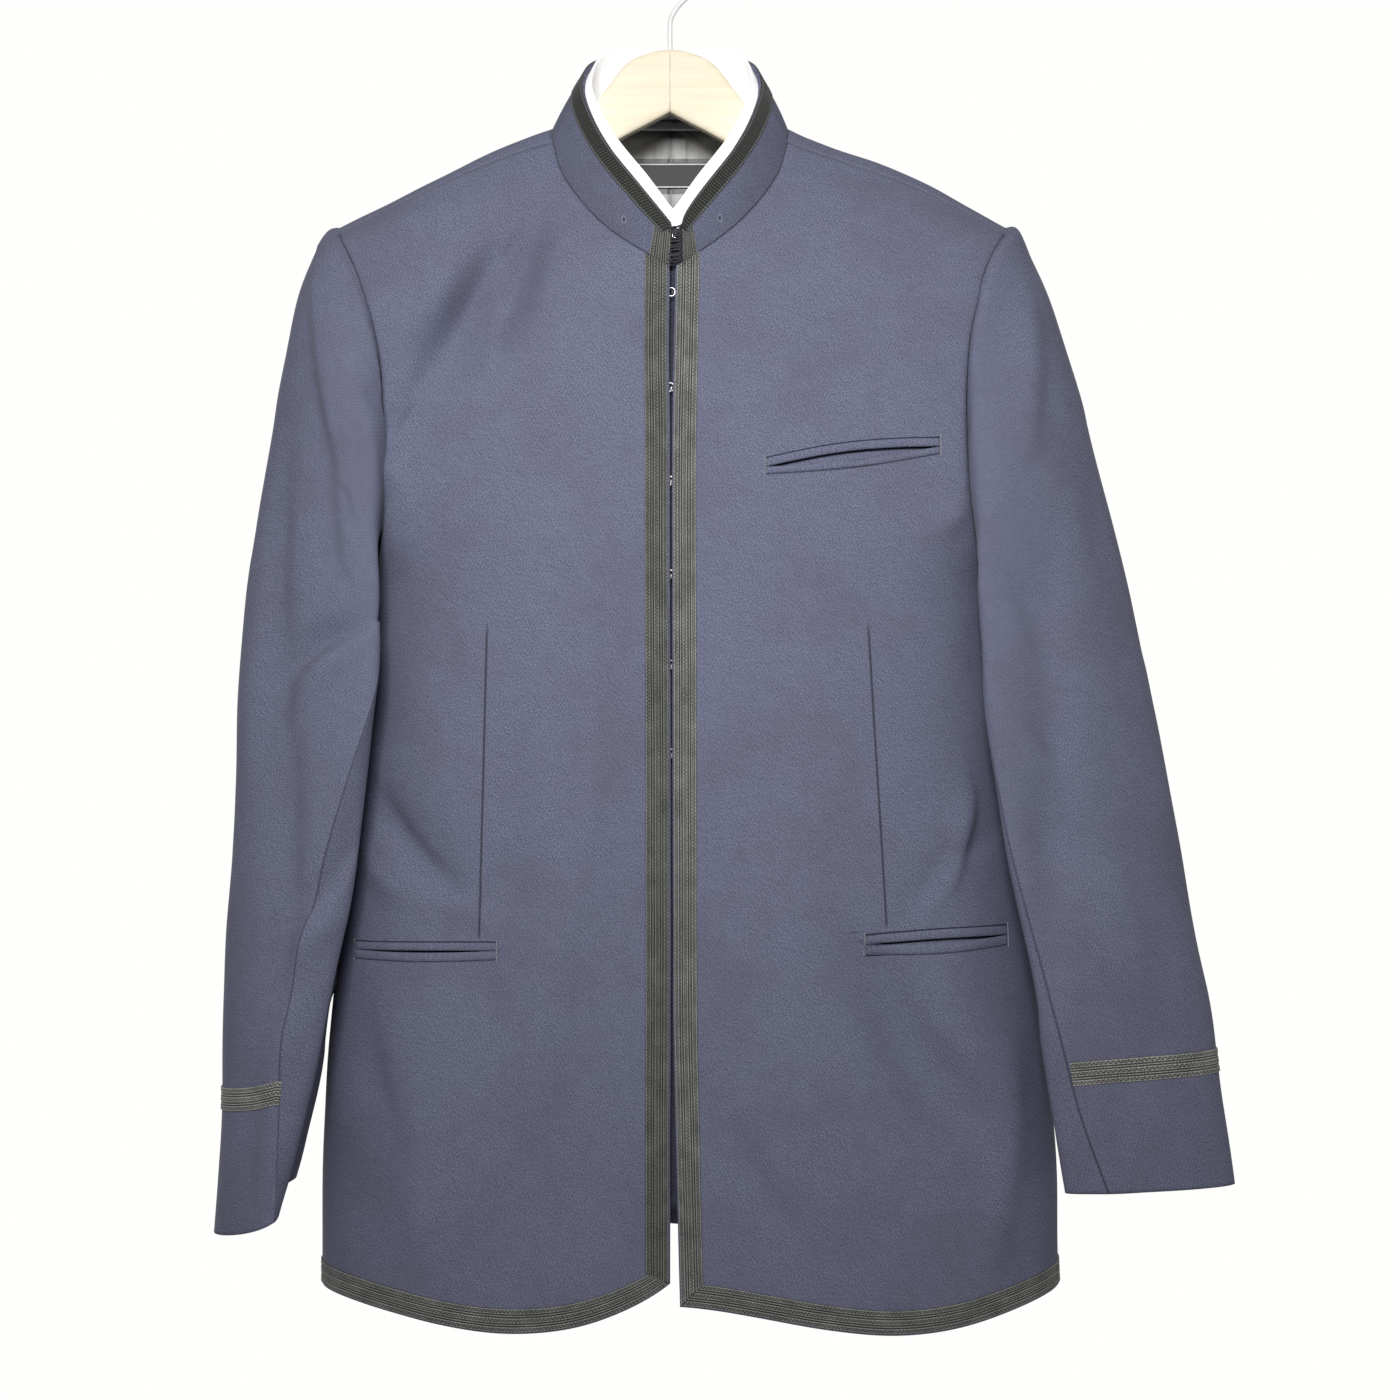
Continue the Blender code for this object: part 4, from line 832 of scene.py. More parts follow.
def sleeve(side, turn, step):
    """A sleeve's surface in millimetres. Each ring is an ellipse between the sleeve's
    outer and inner lines that leans in at the front; the rows of its head are drawn to
    the armhole by a smooth step."""
    rows = SLEEVE_ROWS[side]
    turn, step = np.broadcast_arrays(turn, step)
    even = np.arange(len(rows), dtype=float)
    angle = np.radians(turn)

    def ring(sizes):
        x = ((sizes["out_x"] + sizes["in_x"]) / 2
             + (sizes["out_x"] - sizes["in_x"]) / 2 * np.cos(angle)
             - sizes["lean"] * np.maximum(np.sin(angle), 0) ** 2)
        y = ((sizes["front_y"] + sizes["back_y"]) / 2
             + (sizes["front_y"] - sizes["back_y"]) / 2 * np.sin(angle))
        z = ((sizes["out_z"] + sizes["in_z"]) / 2
             + (sizes["out_z"] - sizes["in_z"]) / 2 * np.cos(angle))
        return np.stack([side * x, y, z], axis=-1)

    tables = {name: column(rows, SLEEVE_COLUMNS, name) for name in SLEEVE_COLUMNS}
    points = ring({name: through(values, step, even) for name, values in tables.items()})
    first = ring({name: values[0] for name, values in tables.items()})
    loop, loop_turn = armhole(side)
    wrapped = np.mod(turn, 360)
    edge = np.stack([np.interp(wrapped, loop_turn, loop[:, axis]) for axis in range(3)], -1)
    edge[..., 0] += side * SEAM_GAP
    weight = np.clip(1 - step / HEAD_ROWS, 0, 1)
    weight = (weight**2 * (3 - 2 * weight))[..., None]
    return points + (edge - first) * weight


def sleeve_outward(side, turn):
    """The level direction out of the sleeve at each turn."""
    radians = np.radians(turn)
    return np.stack([side * np.cos(radians), -np.sin(radians), 0 * radians], axis=-1)


def dressed_sleeve(side, turn, step, lift=0.0):
    """The sleeve with its creases: those of the table on its front, the same ones lower
    and turned over on its back, and the roll of its head beside the armhole."""
    points = sleeve(side, turn, step)
    turn, step = np.broadcast_arrays(turn, step)
    radians = np.radians(turn)
    normals = grid_normals(points, sleeve_outward(side, turn))
    x, z = points[..., 0], points[..., 2]
    front = np.clip(np.sin(radians) * 2 + 0.6, 0, 1)
    front = front * front * (3 - 2 * front)
    height = fold_height(SLEEVE_CREASES[side], x, z) * front
    height += fold_height(SLEEVE_CREASES[side], x, z + BACK_CREASES_LOWER) * (1 - front)
    height = CREASE_GAIN * height + unevenness(x + points[..., 1], z, 2.2 * side)
    head = np.clip(np.cos(radians) + 0.35, 0, 1)
    roll = HEAD_ROLL * head * np.exp(-((step - 0.55) / 0.5) ** 2)
    puckers = HEAD_PUCKER * np.sin(radians * 46) * head * np.exp(-((step - 0.3) / 0.35) ** 2)
    height = height * np.clip(step / 0.5, 0, 1) + roll + puckers
    return points + normals * (height + lift)[..., None]


def sleeve_shares(count):
    """Shares of the way across a part of the sleeve, close together at its seams."""
    return np.concatenate([[0.0, 0.003, 0.007], np.linspace(0.013, 0.987, count),
                           [0.993, 0.997, 1.0]])


def sleeve_seam(cloth, colour, height):
    """Draws the front seam, where both parts of a sleeve have u at nothing."""
    _, (u, _, _) = cloth.coordinates("UV")
    return groove(cloth, colour, height, 1.0 - abs(u).ramp(0.1, 1.1), 0.38)


def seam_turns(side, steps):
    """The turn of a sleeve's front seam at each step."""
    turns = np.array(FRONT_SEAM[side], dtype=float)
    return through(turns, steps, np.arange(len(turns), dtype=float))


def sleeve_turns(side, part, steps, count):
    """The turns of a part's columns at each step, between its two seams."""
    seam = seam_turns(side, steps)[:, None]
    share = sleeve_shares(count)[None, :]
    if part == "top":
        return (BACK_SEAM - 360) + (seam - (BACK_SEAM - 360)) * share
    return seam + (BACK_SEAM - seam) * share


sleeve_finish = twill("twill_sleeve", sleeve_seam)
steps = np.concatenate([np.linspace(0, 4, 54), np.linspace(4, SLEEVE_END, 150)[1:]])

for side, hand in HANDS.items():
    for part, count in SLEEVE_COUNTS.items():
        turns = sleeve_turns(side, part, steps, count)
        points = dressed_sleeve(side, turns, steps[:, None])
        share = sleeve_shares(count)
        if part == "under":
            inwards = (UNDER_HOLLOW[side] * np.exp(-((share - 0.22) / 0.20) ** 2)
                       * (1 - np.exp(-share / 0.03)))
            radians = np.radians(turns)
            points[..., 0] -= side * np.cos(radians) * inwards
            points[..., 1] += np.abs(np.sin(radians)) * inwards * np.sign(np.sin(radians))
        for edge, beside in ((0, 1), (-1, -2)):
            points[:, edge] += unit(points[:, beside] - points[:, edge]) * SEAM_GAP
        along, up = surface_lengths(points)
        up = np.broadcast_to(up.mean(axis=1, keepdims=True), up.shape)
        if part == "top":
            along = along - along[:, -1:]
        piece = grid_object("cloth_sleeve_" + part + "_" + hand, points,
                            np.stack([-side * along, -up], axis=-1), sleeve_finish,
                            sleeve_outward(side, turns)[:-1, :-1], CLOTH_THICKNESS)
        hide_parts("sleeve_" + part + "_" + hand)


# Edge braids. Olive-black mohair braid, 15 mm wide, is sewn flat a little way in from
# each front edge. It has three plaited ribs with straight cords between them, and is
# folded to a mitre where it meets the hem's braid.
BRAID_WIDTH = 15.0
BRAID_INSET = {LEFT: 1.3, RIGHT: 0.7}    # cloth that shows beyond the braid
BRAID_LIFT = 0.45
PLAIT_HEIGHT, CORD_HEIGHT = 0.35, 0.30
PLAITS = (1.9, 7.5, 13.1)
PLAIT_REACH = 1.25        # from a plait's middle to the thin cords along it
CORDS = (0.65, 3.15, 4.7, 6.25, 8.75, 10.3, 11.85, 14.35)


def braid_columns():
    """Places across a braid, close together at its rolled edges."""
    inner = np.arange(0.35, BRAID_WIDTH - 0.3, 0.32)
    return np.concatenate([[0.0, 0.06, 0.18], inner,
                           [BRAID_WIDTH - 0.18, BRAID_WIDTH - 0.06, BRAID_WIDTH]])


def braid_lift(across, along, length):
    """How far the braid stands out: its ribs and cords, rolled down to the cloth along
    its two edges and two ends. All in millimetres."""
    lift = np.full(np.broadcast(across, along).shape, BRAID_LIFT)
    for middle in PLAITS:
        lift = lift + PLAIT_HEIGHT * np.exp(-((across - middle) / 1.4) ** 4)
    for middle in CORDS:
        lift = lift + CORD_HEIGHT * np.exp(-((across - middle) / 0.36) ** 2)
    edge = np.clip(np.minimum(across, BRAID_WIDTH - across) / 0.5, 0, 1)
    end = np.clip(np.minimum(along, length - along) / 0.5, 0, 1)
    roll = np.sqrt(edge * (2 - edge)) * np.sqrt(end * (2 - end))
    return (lift + 0.3) * roll - 0.3


def braid_finish(name, dark, light):
    """Braid with u across it and v along it, in millimetres: plaited ribs are small
    chevrons, the cords are plain with a fine twist, and the grooves are dark."""
    braid = Finish(name, 0.72, Sheen_Weight=0.15, Sheen_Roughness=0.5,
                   Specular_IOR_Level=0.3)
    weave, (u, v, _) = braid.coordinates("UV")
    thread = braid.noise(weave, 1.1, 3.0)
    worn = braid.noise(weave, 0.06, 2.0)
    zigzag = None
    for middle in PLAITS:
        wave = abs((v / 2.3 + middle * 0.4).fraction() - 0.5) * 4.0 - 1.0
        off = abs(u - middle - wave * (PLAIT_REACH * 0.55))
        share = 1.0 - off.ramp(0.15, 0.62)
        zigzag = share if zigzag is None else zigzag + share
    cords = None
    for middle in CORDS:
        share = 1.0 - abs(u - middle).ramp(0.10, 0.60)
        cords = share if cords is None else cords + share
    twist = (v * (2 * math.pi / 1.5)).sine()
    light_share = (cords * (0.72 + twist * 0.16) + zigzag * 0.60 + (thread - 0.5) * 1.3
                   + (worn - 0.5) * 0.6)
    colour = braid.mix(light_share.ramp(0.0, 1.1), dark, light)
    height = cords * 0.6 + zigzag * 0.6 + twist * cords * 0.15 + thread * 0.5
    return braid.finish(colour, height, 0.0003, 0.8)


# The two edges take lit and shaded copies of the braid's colours: the left edge's darker one is
# painted shade, the right edge's lighter one painted light.
EDGE_LIT_AND_SHADED_FINISH = {
    LEFT: braid_finish("edge_braid_left", (0.020, 0.021, 0.018), (0.262, 0.266, 0.247)),
    RIGHT: braid_finish("edge_braid_right", (0.028, 0.029, 0.027), (0.372, 0.376, 0.356)),
}


def on_front(side, x, z):
    """The share and level of a front's point that is seen at x, z, found by Newton's
    steps from its middle."""
    share = np.full(x.shape, 0.3)
    heights = column(FRONT_ROWS, FRONT_COLUMNS, "out_z")
    level = np.interp(z, heights, np.arange(LAST_ROW + 1))
    for _ in range(14):
        here = panel("front", side, share, level)
        by_share = (panel("front", side, share + 0.005, level) - here) / 0.005
        by_level = (panel("front", side, share, level + 0.02) - here) / 0.02
        miss_x, miss_z = x - here[..., 0], z - here[..., 2]
        area = by_share[..., 0] * by_level[..., 2] - by_share[..., 2] * by_level[..., 0]
        share = share + np.clip((miss_x * by_level[..., 2] - miss_z * by_level[..., 0]) / area,
                                -0.2, 0.2)
        level = level + np.clip((miss_z * by_share[..., 0] - miss_x * by_share[..., 2]) / area,
                                -1.5, 1.5)
        share, level = np.clip(share, 0.0, 0.99), np.clip(level, 0.0, LAST_ROW - 0.1)
    return share, level


def near_hem(piece, side, beside, above):
    """Shares and levels of a panel's points so far along its hem and so far above it."""
    fine = np.linspace(0, 1, 801)
    lower = panel(piece, side, fine, np.zeros(fine.shape))
    upper = panel(piece, side, fine, np.full(fine.shape, 0.15))
    rise = np.linalg.norm(upper - lower, axis=-1) / 0.15
    share = np.interp(beside, path_lengths((lower + upper) / 2), fine)
    return share, above / np.interp(share, fine, rise)


FORESHORTENED = 0.975     # a front's width beside its edge, as it is seen from the front

for side, hand in HANDS.items():
    across = braid_columns()[None, :]
    foot = BRAID_INSET[side] + across
    mitre = panel("front", side, *near_hem("front", side, foot, 0.8 + across))[..., 2]
    rows = np.linspace(0, LAST_ROW, 1401)
    inner = panel("front", side, 0 * rows, rows)
    neck = rows >= NECK_ROW
    at_neck = inner[np.argmax(neck), 0] + side * foot * FORESHORTENED
    top = np.interp(side * at_neck, side * inner[neck, 0], inner[neck, 2]) - 0.2
    rise = np.concatenate([[0, 0.0002, 0.0005], np.linspace(0.0012, 0.9988, 300),
                           [0.9995, 0.9998, 1.0]])[:, None]
    z = mitre + (top - mitre) * rise
    edge_x = np.interp(np.minimum(z, inner[neck, 2][0]), inner[~neck, 2], inner[~neck, 0])
    x = edge_x + side * foot * FORESHORTENED
    share, level = on_front(side, x, z)
    lift = braid_lift(across, rise * (top - mitre), top - mitre)
    points = dressed_panel("front", side, share, level, lift)
    edge_uv = np.stack(np.broadcast_arrays(across, z - top.min()), axis=-1)
    braid = grid_object("braid_edge_" + hand, points, edge_uv, EDGE_LIT_AND_SHADED_FINISH[side], (0, -1, 0))
    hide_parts("edge_braid_" + hand)


# Hem braids. The same braid runs round the hem in four lengths, its ribs along the hem,
# in a copy of its colours darker than the right edge's, as painted shade. They meet at
# the side seams and the middle back.
SIDE_SEAM_GAP, MIDDLE_SEAM_GAP = 0.4, 0.2    # the braid stops this short of them
hem_shaded_finish = braid_finish("hem_braid", (0.024, 0.025, 0.023), (0.350, 0.352, 0.330))
across = braid_columns()[:, None]
run = np.concatenate([[0, 0.0004, 0.001], np.linspace(0.003, 0.997, 190), [1.0]])[None, :]

for piece in ("front", "back"):
    for side, hand in HANDS.items():
        line = panel(piece, side, np.linspace(0, 1, 801), np.full(801, 0.07))
        length = path_lengths(line)[-1] - SIDE_SEAM_GAP
        begin = BRAID_INSET[side] + across if piece == "front" else MIDDLE_SEAM_GAP + 0 * across
        beside = begin + (length - begin) * run
        lift = braid_lift(across, run * length, length)
        share, level = near_hem(piece, side, beside, 0.8 + across)
        points = dressed_panel(piece, side, share, level, lift)
        hem_uv = np.stack(np.broadcast_arrays(BRAID_WIDTH - across, beside), axis=-1)
        facing = (0, -1, 0) if piece == "front" else (0, 1, 0)
        node = ("hem_braid_" if piece == "front" else "hem_braid_back_") + hand
        braid = grid_object("dressed_" + node, points, hem_uv, hem_shaded_finish, facing)
        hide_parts(node)


# Cuff bands. One length of the braid crosses each top sleeve some way above the cuff,
# its two ends caught in the sleeve's seams.
BAND_STEP = 10.5          # the sleeve's row under its middle
BAND_RISE = {LEFT: 13.0, RIGHT: 0.0}    # how far its front end is drawn up the sleeve
# The cuff bands take the lightest copy of the braid's colours: painted light.
cuff_lit_finish = braid_finish("cuff_braid", (0.030, 0.031, 0.029), (0.470, 0.472, 0.440))
across = braid_columns()[:, None]
run = np.concatenate([[0, 0.003], np.linspace(0.008, 0.992, 150), [0.997, 1]])[None, :]

for side, hand in HANDS.items():
    seam = seam_turns(side, np.array([BAND_STEP]))[0]
    turn = (BACK_SEAM - 360) + 2.0 + (seam - (BACK_SEAM - 360) - 3.0) * run
    lower = sleeve(side, turn, np.full(turn.shape, BAND_STEP + 0.4))
    upper = sleeve(side, turn, np.full(turn.shape, BAND_STEP - 0.4))
    mm_per_step = np.linalg.norm(lower - upper, axis=-1) / 0.8
    rise = BAND_RISE[side] * np.clip(turn / 66.0, -1, 1) ** 2
    step = BAND_STEP + (across - BRAID_WIDTH / 2 - rise) / mm_per_step
    length = path_lengths(sleeve(side, turn, np.full(turn.shape, BAND_STEP))[0])[-1]
    lift = braid_lift(across, run * length, length)
    turn = np.broadcast_to(turn, step.shape)
    points = dressed_sleeve(side, turn, step, lift)
    band_uv = np.stack(np.broadcast_arrays(across, run * length), axis=-1)
    band = grid_object("braid_cuff_" + hand, points, band_uv, cuff_lit_finish,
                       sleeve_outward(side, turn)[:-1, :-1])
    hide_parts("cuff_band_" + hand)


# Pockets. Each mouth has two narrow jets of the same cloth, folded round its lips. The
# breast pocket gapes a little below its upper jet, and its ends are barred by hand.
BAR_REACH = 1.4           # how far a bar runs past the jets' seams
BAR_RADIUS = 0.38
JET_ROLL = 1.0            # how far a jet stands out
jet_finish = twill("twill_jet", rise=math.radians(20))


def jet(side, pocket, sign):
    """A jet's grid: along the mouth, and over the roll from its mouth edge to its seam,
    which is a flattened arc. A sign of 1 makes the upper jet and -1 the lower."""
    run = np.linspace(0, 1, 90)[None, :]
    over = np.linspace(math.radians(-25), math.radians(195), 18)[:, None]
    x = pocket["x0"] + (pocket["x1"] - pocket["x0"]) * run
    bow = pocket["arch"] if sign > 0 else -pocket["drop"]
    mouth = pocket["z0"] + (pocket["z1"] - pocket["z0"]) * run + bow * np.sin(math.pi * run)
    half = pocket["upper" if sign > 0 else "lower"] / 2
    z = mouth + sign * (half - half * np.cos(over))
    end = np.clip(np.minimum(run, 1 - run) / 0.012, 0, 1)
    lift = 0.1 + JET_ROLL * np.sin(over) * np.sqrt(end * (2 - end))
    x, z, lift = np.broadcast_arrays(x, z, lift)
    share, level = on_front(side, x, z)
    return dressed_panel("front", side, share, level, lift + pocket_sink(side, x, z))


def bar(side, pocket, end):
    """The line of a bar down one end of a mouth, 0 or 1."""
    x = np.full(9, pocket["x0"] + (pocket["x1"] - pocket["x0"]) * end)
    x = x + (end - 0.5) * 1.2
    mouth = pocket["z0"] + (pocket["z1"] - pocket["z0"]) * end
    z = np.linspace(mouth - pocket["lower"] - BAR_REACH, mouth + pocket["upper"] + BAR_REACH, 9)
    share, level = on_front(side, x[None], z[None])
    rows = np.concatenate([level, level + 0.002])
    points = dressed_panel("front", side, np.concatenate([share, share + 0.001]), rows,
                           0.25 + pocket_sink(side, np.stack([x, x]), np.stack([z, z])))
    return points[0]


def wire(name, path, radius, sides, finish):
    """A round wire or thread: a circle carried along a smoothed path without twisting,
    with a domed tip at both its ends."""
    knots = np.arange(len(path), dtype=float)
    fine = np.linspace(0, len(path) - 1, 8 * len(path))
    path = through(np.array(path, dtype=float), fine, knots)
    tangent = unit(np.gradient(path, axis=0))
    across = unit(np.cross(tangent, np.array([0.37, 0.91, 0.18])))
    for i in range(1, len(path)):
        across[i] = unit(across[i - 1] - tangent[i] * np.dot(across[i - 1], tangent[i]))
    other = np.cross(tangent, across)
    turn = np.linspace(0, 2 * math.pi, sides + 1)[None, :, None]
    ring = (np.cos(turn) * across[:, None] + np.sin(turn) * other[:, None]) * radius
    dome = ((0.0, 0.0), (0.45, 0.1), (0.8, 0.4))
    rings = [path[0] + ring[0] * grow + tangent[0] * radius * (back - 1.0) for grow, back in dome]
    rings += [path[i] + ring[i] for i in range(len(path))]
    rings += [path[-1] + ring[-1] * grow + tangent[-1] * radius * (1.0 - back)
              for grow, back in reversed(dome)]
    points = np.array(rings)
    along, up = surface_lengths(points)
    facing = np.zeros(points[:-1, :-1].shape)
    row = len(points) // 2
    facing[row] = (points[row] - points[row][:-1].mean(axis=0))[:-1]
    return grid_object(name, points, np.stack([up, along], axis=-1), finish, facing)


cotton = Finish("bar_thread", 0.7)
_, (u, v, _) = cotton.coordinates("UV")
lay = ((u + v * 0.5) * (2 * math.pi / 1.3)).sine()
bar_colour = cotton.mix(lay.ramp(-0.9, 0.2), (0.10, 0.11, 0.14), (0.36, 0.37, 0.38))
bar_thread = cotton.finish(bar_colour, lay, 0.0002, 0.6)

for (kind, side), row in POCKETS.items():
    pocket = dict(zip(POCKET_COLUMNS, row))
    hand = HANDS[side]
    for which, sign in (("upper", 1), ("lower", -1)):
        node = kind + "_jet_" + which + ("" if kind == "breast" else "_" + hand)
        points = jet(side, pocket, sign)
        made = grid_object("cloth_" + node, points, length_map(points), jet_finish, (0, -1, 0))
        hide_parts(node)
    for end in (0, 1):
        wire("bar_" + kind + "_" + hand + "_" + str(end), bar(side, pocket, end), BAR_RADIUS, 8,
             bar_thread)


# Collar. A stiffened stand collar of the same twill, its grain along it, is sewn round
# the neckline and meets on a hook. Two holes at the front are left from its badges.

# Points of its top edge, from an end in front round to the middle of the back.
COLLAR_TOP = (
    (1.0, -60, -202.5),
    (20.0, -53, -177.5),
    (39.8, -41, -150.4),
    (52.2, -25, -125.8),
    (58.3, -5, -101.4),
    (52.0, 22, -80.0),
    (30.0, 42, -71.5),
    (0.0, 48, -69.5),
)
COLLAR_TOP_SHIFT = 2.6    # how far right of the middle line the tops of its ends lie
COLLAR_GAP = 4.6          # how much further right its right end stands, for the threads
COLLAR_BELLY = 1.5        # how far it swells between its foot and its top
COLLAR_WALL = 2.6         # its thickness
COLLAR_TUCK = 0.8         # of the collar is turned in below its seam
BADGE_HOLES = ((-28.6, -199.5), (32.2, -198.6))


def neckline():
    """The neckline's points from the right front round the back to the left front."""
    rows = np.linspace(NECK_ROW, LAST_ROW, 61)
    front = {side: panel("front", side, 0 * rows, rows) for side in (LEFT, RIGHT)}
    back = {side: panel("back", side, 0 * rows, rows) for side in (LEFT, RIGHT)}
    return np.concatenate([front[RIGHT], back[RIGHT][-2::-1], back[LEFT][1:],
                           front[LEFT][-2::-1]])


def collar(share, height):
    """The collar's outer face at a share of its way round, from the wearer's left, and a
    share of its height; also the level direction out of the neck there."""
    loop = neckline()
    loop_share = path_lengths(loop) / path_lengths(loop)[-1]
    share, height = np.broadcast_arrays(share, height)
    base = np.stack([np.interp(share, loop_share, loop[:, axis]) for axis in range(3)], -1)
    place = (1 - np.abs(2 * share - 1)) * (len(COLLAR_TOP) - 1)
    table = np.array(COLLAR_TOP, dtype=float)
    top = through(table, place, np.arange(len(table), dtype=float))
    top[..., 0] = (np.where(share <= 0.5, top[..., 0], -top[..., 0])
                   + COLLAR_TOP_SHIFT * np.abs(2 * share - 1))
    level_out = unit(np.stack([base[..., 0], base[..., 1], 0 * base[..., 0]], axis=-1))
    points = base + (top - base) * height[..., None]
    points[..., 0] += COLLAR_GAP * np.exp(-share / 0.02)
    points += (np.sin(math.pi * height) * COLLAR_BELLY)[..., None] * level_out
    return points, level_out


def dressed_collar(share, height, lift=0.0):
    """The collar's outer face with its slight waviness, moved out by lift."""
    points, level_out = collar(share, height)
    normals = grid_normals(points, level_out)
    x, z = points[..., 0], points[..., 2]
    wave = unevenness(x + points[..., 1], z, 0.7) * 0.45
    return points + normals * (wave * np.sin(math.pi * np.clip(height, 0, 1)) + lift)[..., None]


def collar_seam(cloth, colour, height):
    """Draws the seam along the collar's foot, and the holes that two badges have left."""
    _, (_, v, _) = cloth.coordinates("UV")
    _, (x, y, z) = cloth.coordinates("Object")
    foot = 1.0 - v.ramp(COLLAR_TUCK, COLLAR_TUCK + 1.3)
    colour, height = groove(cloth, colour, height, foot, 0.8)
    for hole_x, hole_z in BADGE_HOLES:
        off = (((x * 1000.0 - hole_x) ** 2.0 + ((z * 1000.0 - hole_z) * 0.6) ** 2.0) ** 0.5
               + y.ramp(-0.03, -0.01) * 9.0)
        colour, height = groove(cloth, colour, height, 1.0 - off.ramp(0.3, 1.1), 0.7)
        rim = off.ramp(0.7, 1.2) * (1.0 - off.ramp(1.3, 1.9))
        colour = cloth.mix(rim * 0.35, colour, (0.30, 0.31, 0.40))
    return colour, height


shares = np.linspace(0, 1, 301)[None, :]
heights = np.concatenate([[-0.02, 0.0, 0.01], np.linspace(0.03, 1.0, 34)])[:, None]
points = dressed_collar(shares, heights, -0.6 * (heights < -0.01) + 0 * shares)
_, level_out = collar(shares, heights)
# The collar takes the twill at 0.82 of its tone: painted shade.
collar_shaded_finish = twill("twill_collar", collar_seam, rise=math.radians(12), tone=0.82)
stand = grid_object("cloth_collar", points, length_map(points), collar_shaded_finish,
                    level_out[:-1, :-1], COLLAR_WALL * MM)
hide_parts("collar")


# Collar liner. A clip-in strip of white plastic with a rounded rim stands just above
# the collar all the way round, and its two ends meet in a V at the throat.
LINER_RISE_FRONT, LINER_RISE_BACK = 10.3, 3.0
LINER_WALL = 1.5
LINER_IN = COLLAR_WALL + 0.35    # from the collar's outer face to the liner
LINER_HEIGHTS = (0.30, 0.50, 0.70, 0.88, 0.97)    # shares of the collar's height behind it
LINER_CLOSES = 0.95       # how far each end is drawn to the middle to meet the other

shares = np.concatenate([[0, 0.002, 0.004], np.linspace(0.008, 0.992, 281),
                         [0.996, 0.998, 1.0]])[None, :]
edge, level_out = collar(shares, np.ones(shares.shape))
below, _ = collar(shares, np.full(shares.shape, 0.9))
rise_way = unit(edge - below)
inward = -unit(np.cross(np.gradient(edge[0], axis=0), rise_way[0]))[None]
inward = np.where(np.sum(inward * level_out, axis=-1, keepdims=True) > 0, -inward, inward)
stand_up = LINER_RISE_BACK + (LINER_RISE_FRONT - LINER_RISE_BACK) * np.abs(2 * shares - 1)
to_end = 1 - np.exp(-np.minimum(shares, 1 - shares) / 0.03)
tucked = [1 - (1 - height) * to_end for height in LINER_HEIGHTS]
rows = [collar(shares, height)[0] + inward * LINER_IN for height in tucked]
for turn in np.linspace(0, math.pi, 11):
    rise = stand_up - LINER_WALL / 2 + math.sin(turn) * LINER_WALL / 2
    depth = LINER_IN + LINER_WALL / 2 - math.cos(turn) * LINER_WALL / 2
    rows.append(edge + rise_way * rise[..., None] + inward * depth)
rows += [collar(shares, height)[0] + inward * (LINER_IN + LINER_WALL)
         for height in reversed(tucked)]
points = np.concatenate(rows)
ends = np.exp(-shares / 0.012) - np.exp(-(1 - shares) / 0.012)
points[..., 0] -= LINER_CLOSES * ends + COLLAR_GAP * np.exp(-shares / 0.02)
# The plastic glows a little by its emission: painted light that keeps it white in the collar's
# shade.
plastic = Finish("liner_plastic_glowing", 0.38, Specular_IOR_Level=0.5, Emission_Strength=0.32,
                 Emission_Color=(1.0, 1.0, 1.0, 1.0))
place, _ = plastic.coordinates("Object")
scuff = plastic.noise(place, 60.0, 3.0)
liner_colour = plastic.mix(scuff.ramp(0.35, 0.75), (0.90, 0.905, 0.91), (0.95, 0.953, 0.955))
outer_row = np.arange(len(points) - 1)[:, None, None] == 3
liner = grid_object("white_liner", points, length_map(points),
                    plastic.finish(liner_colour, scuff, 0.0001, 0.3),
                    np.where(outer_row, level_out[:, :-1], 0.0))
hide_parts("collar_liner")


# Collar braids. One length follows the collar's top edge and is stitched along both its
# sides; a short one, ribbed like the front edges, runs up each end of the collar.
COLLAR_TAPE = 12.6        # the width of the one along the top
TAPE_STITCHES = (1.3, 11.5)
TAPE_SLANT, TAPE_CORNER = 0.9, 4.0    # its ends are cut to lie level above the short ones
TAPE_RISE, STITCH_SINK = 1.1, 0.35


def collar_heights(share, down):
    """Shares of the collar's height that lie so far down from its top edge."""
    top, _ = collar(share, np.ones(np.shape(share)))
    lower, _ = collar(share, np.full(np.shape(share), 0.8))
    return 1 - down / (np.linalg.norm(top - lower, axis=-1) / 0.2)


run = np.concatenate([[0, 0.0006], np.linspace(0.0015, 0.9985, 260), [0.9994, 1]])[None, :]
across = np.concatenate([[0, 0.1], np.linspace(0.3, COLLAR_TAPE - 0.3, 30),
                         [COLLAR_TAPE - 0.1, COLLAR_TAPE]])[:, None]
whole_round = path_lengths(collar(np.linspace(0, 1, 301), np.full(301, 0.3))[0])[-1]
begin = (0.3 + TAPE_SLANT * np.clip(across - TAPE_CORNER, 0, None)) / whole_round
shares = begin + (1 - 2 * begin) * run
heights = collar_heights(shares, across)
edge_roll = np.clip(np.minimum(across, COLLAR_TAPE - across) / 0.6, 0, 1)
end_roll = np.clip(np.minimum(run, 1 - run) / 0.0012, 0, 1)
lift = TAPE_RISE * np.sqrt(edge_roll * (2 - edge_roll)) * np.sqrt(end_roll) - 0.2
for line in TAPE_STITCHES:
    lift = lift - STITCH_SINK * np.exp(-((across - line) / 0.40) ** 2)
points = dressed_collar(shares, heights, lift)
top_braid = Finish("collar_braid", 0.7, Sheen_Weight=0.15, Specular_IOR_Level=0.3)
weave, (u, v, _) = top_braid.coordinates("UV")
thread = top_braid.noise(weave, 1.1, 3.0)
ridge = ((u * 0.9 + v * 0.5) * (2 * math.pi / 1.5)).sine()
grosgrain = (v * (2 * math.pi / 2.1)).sine()
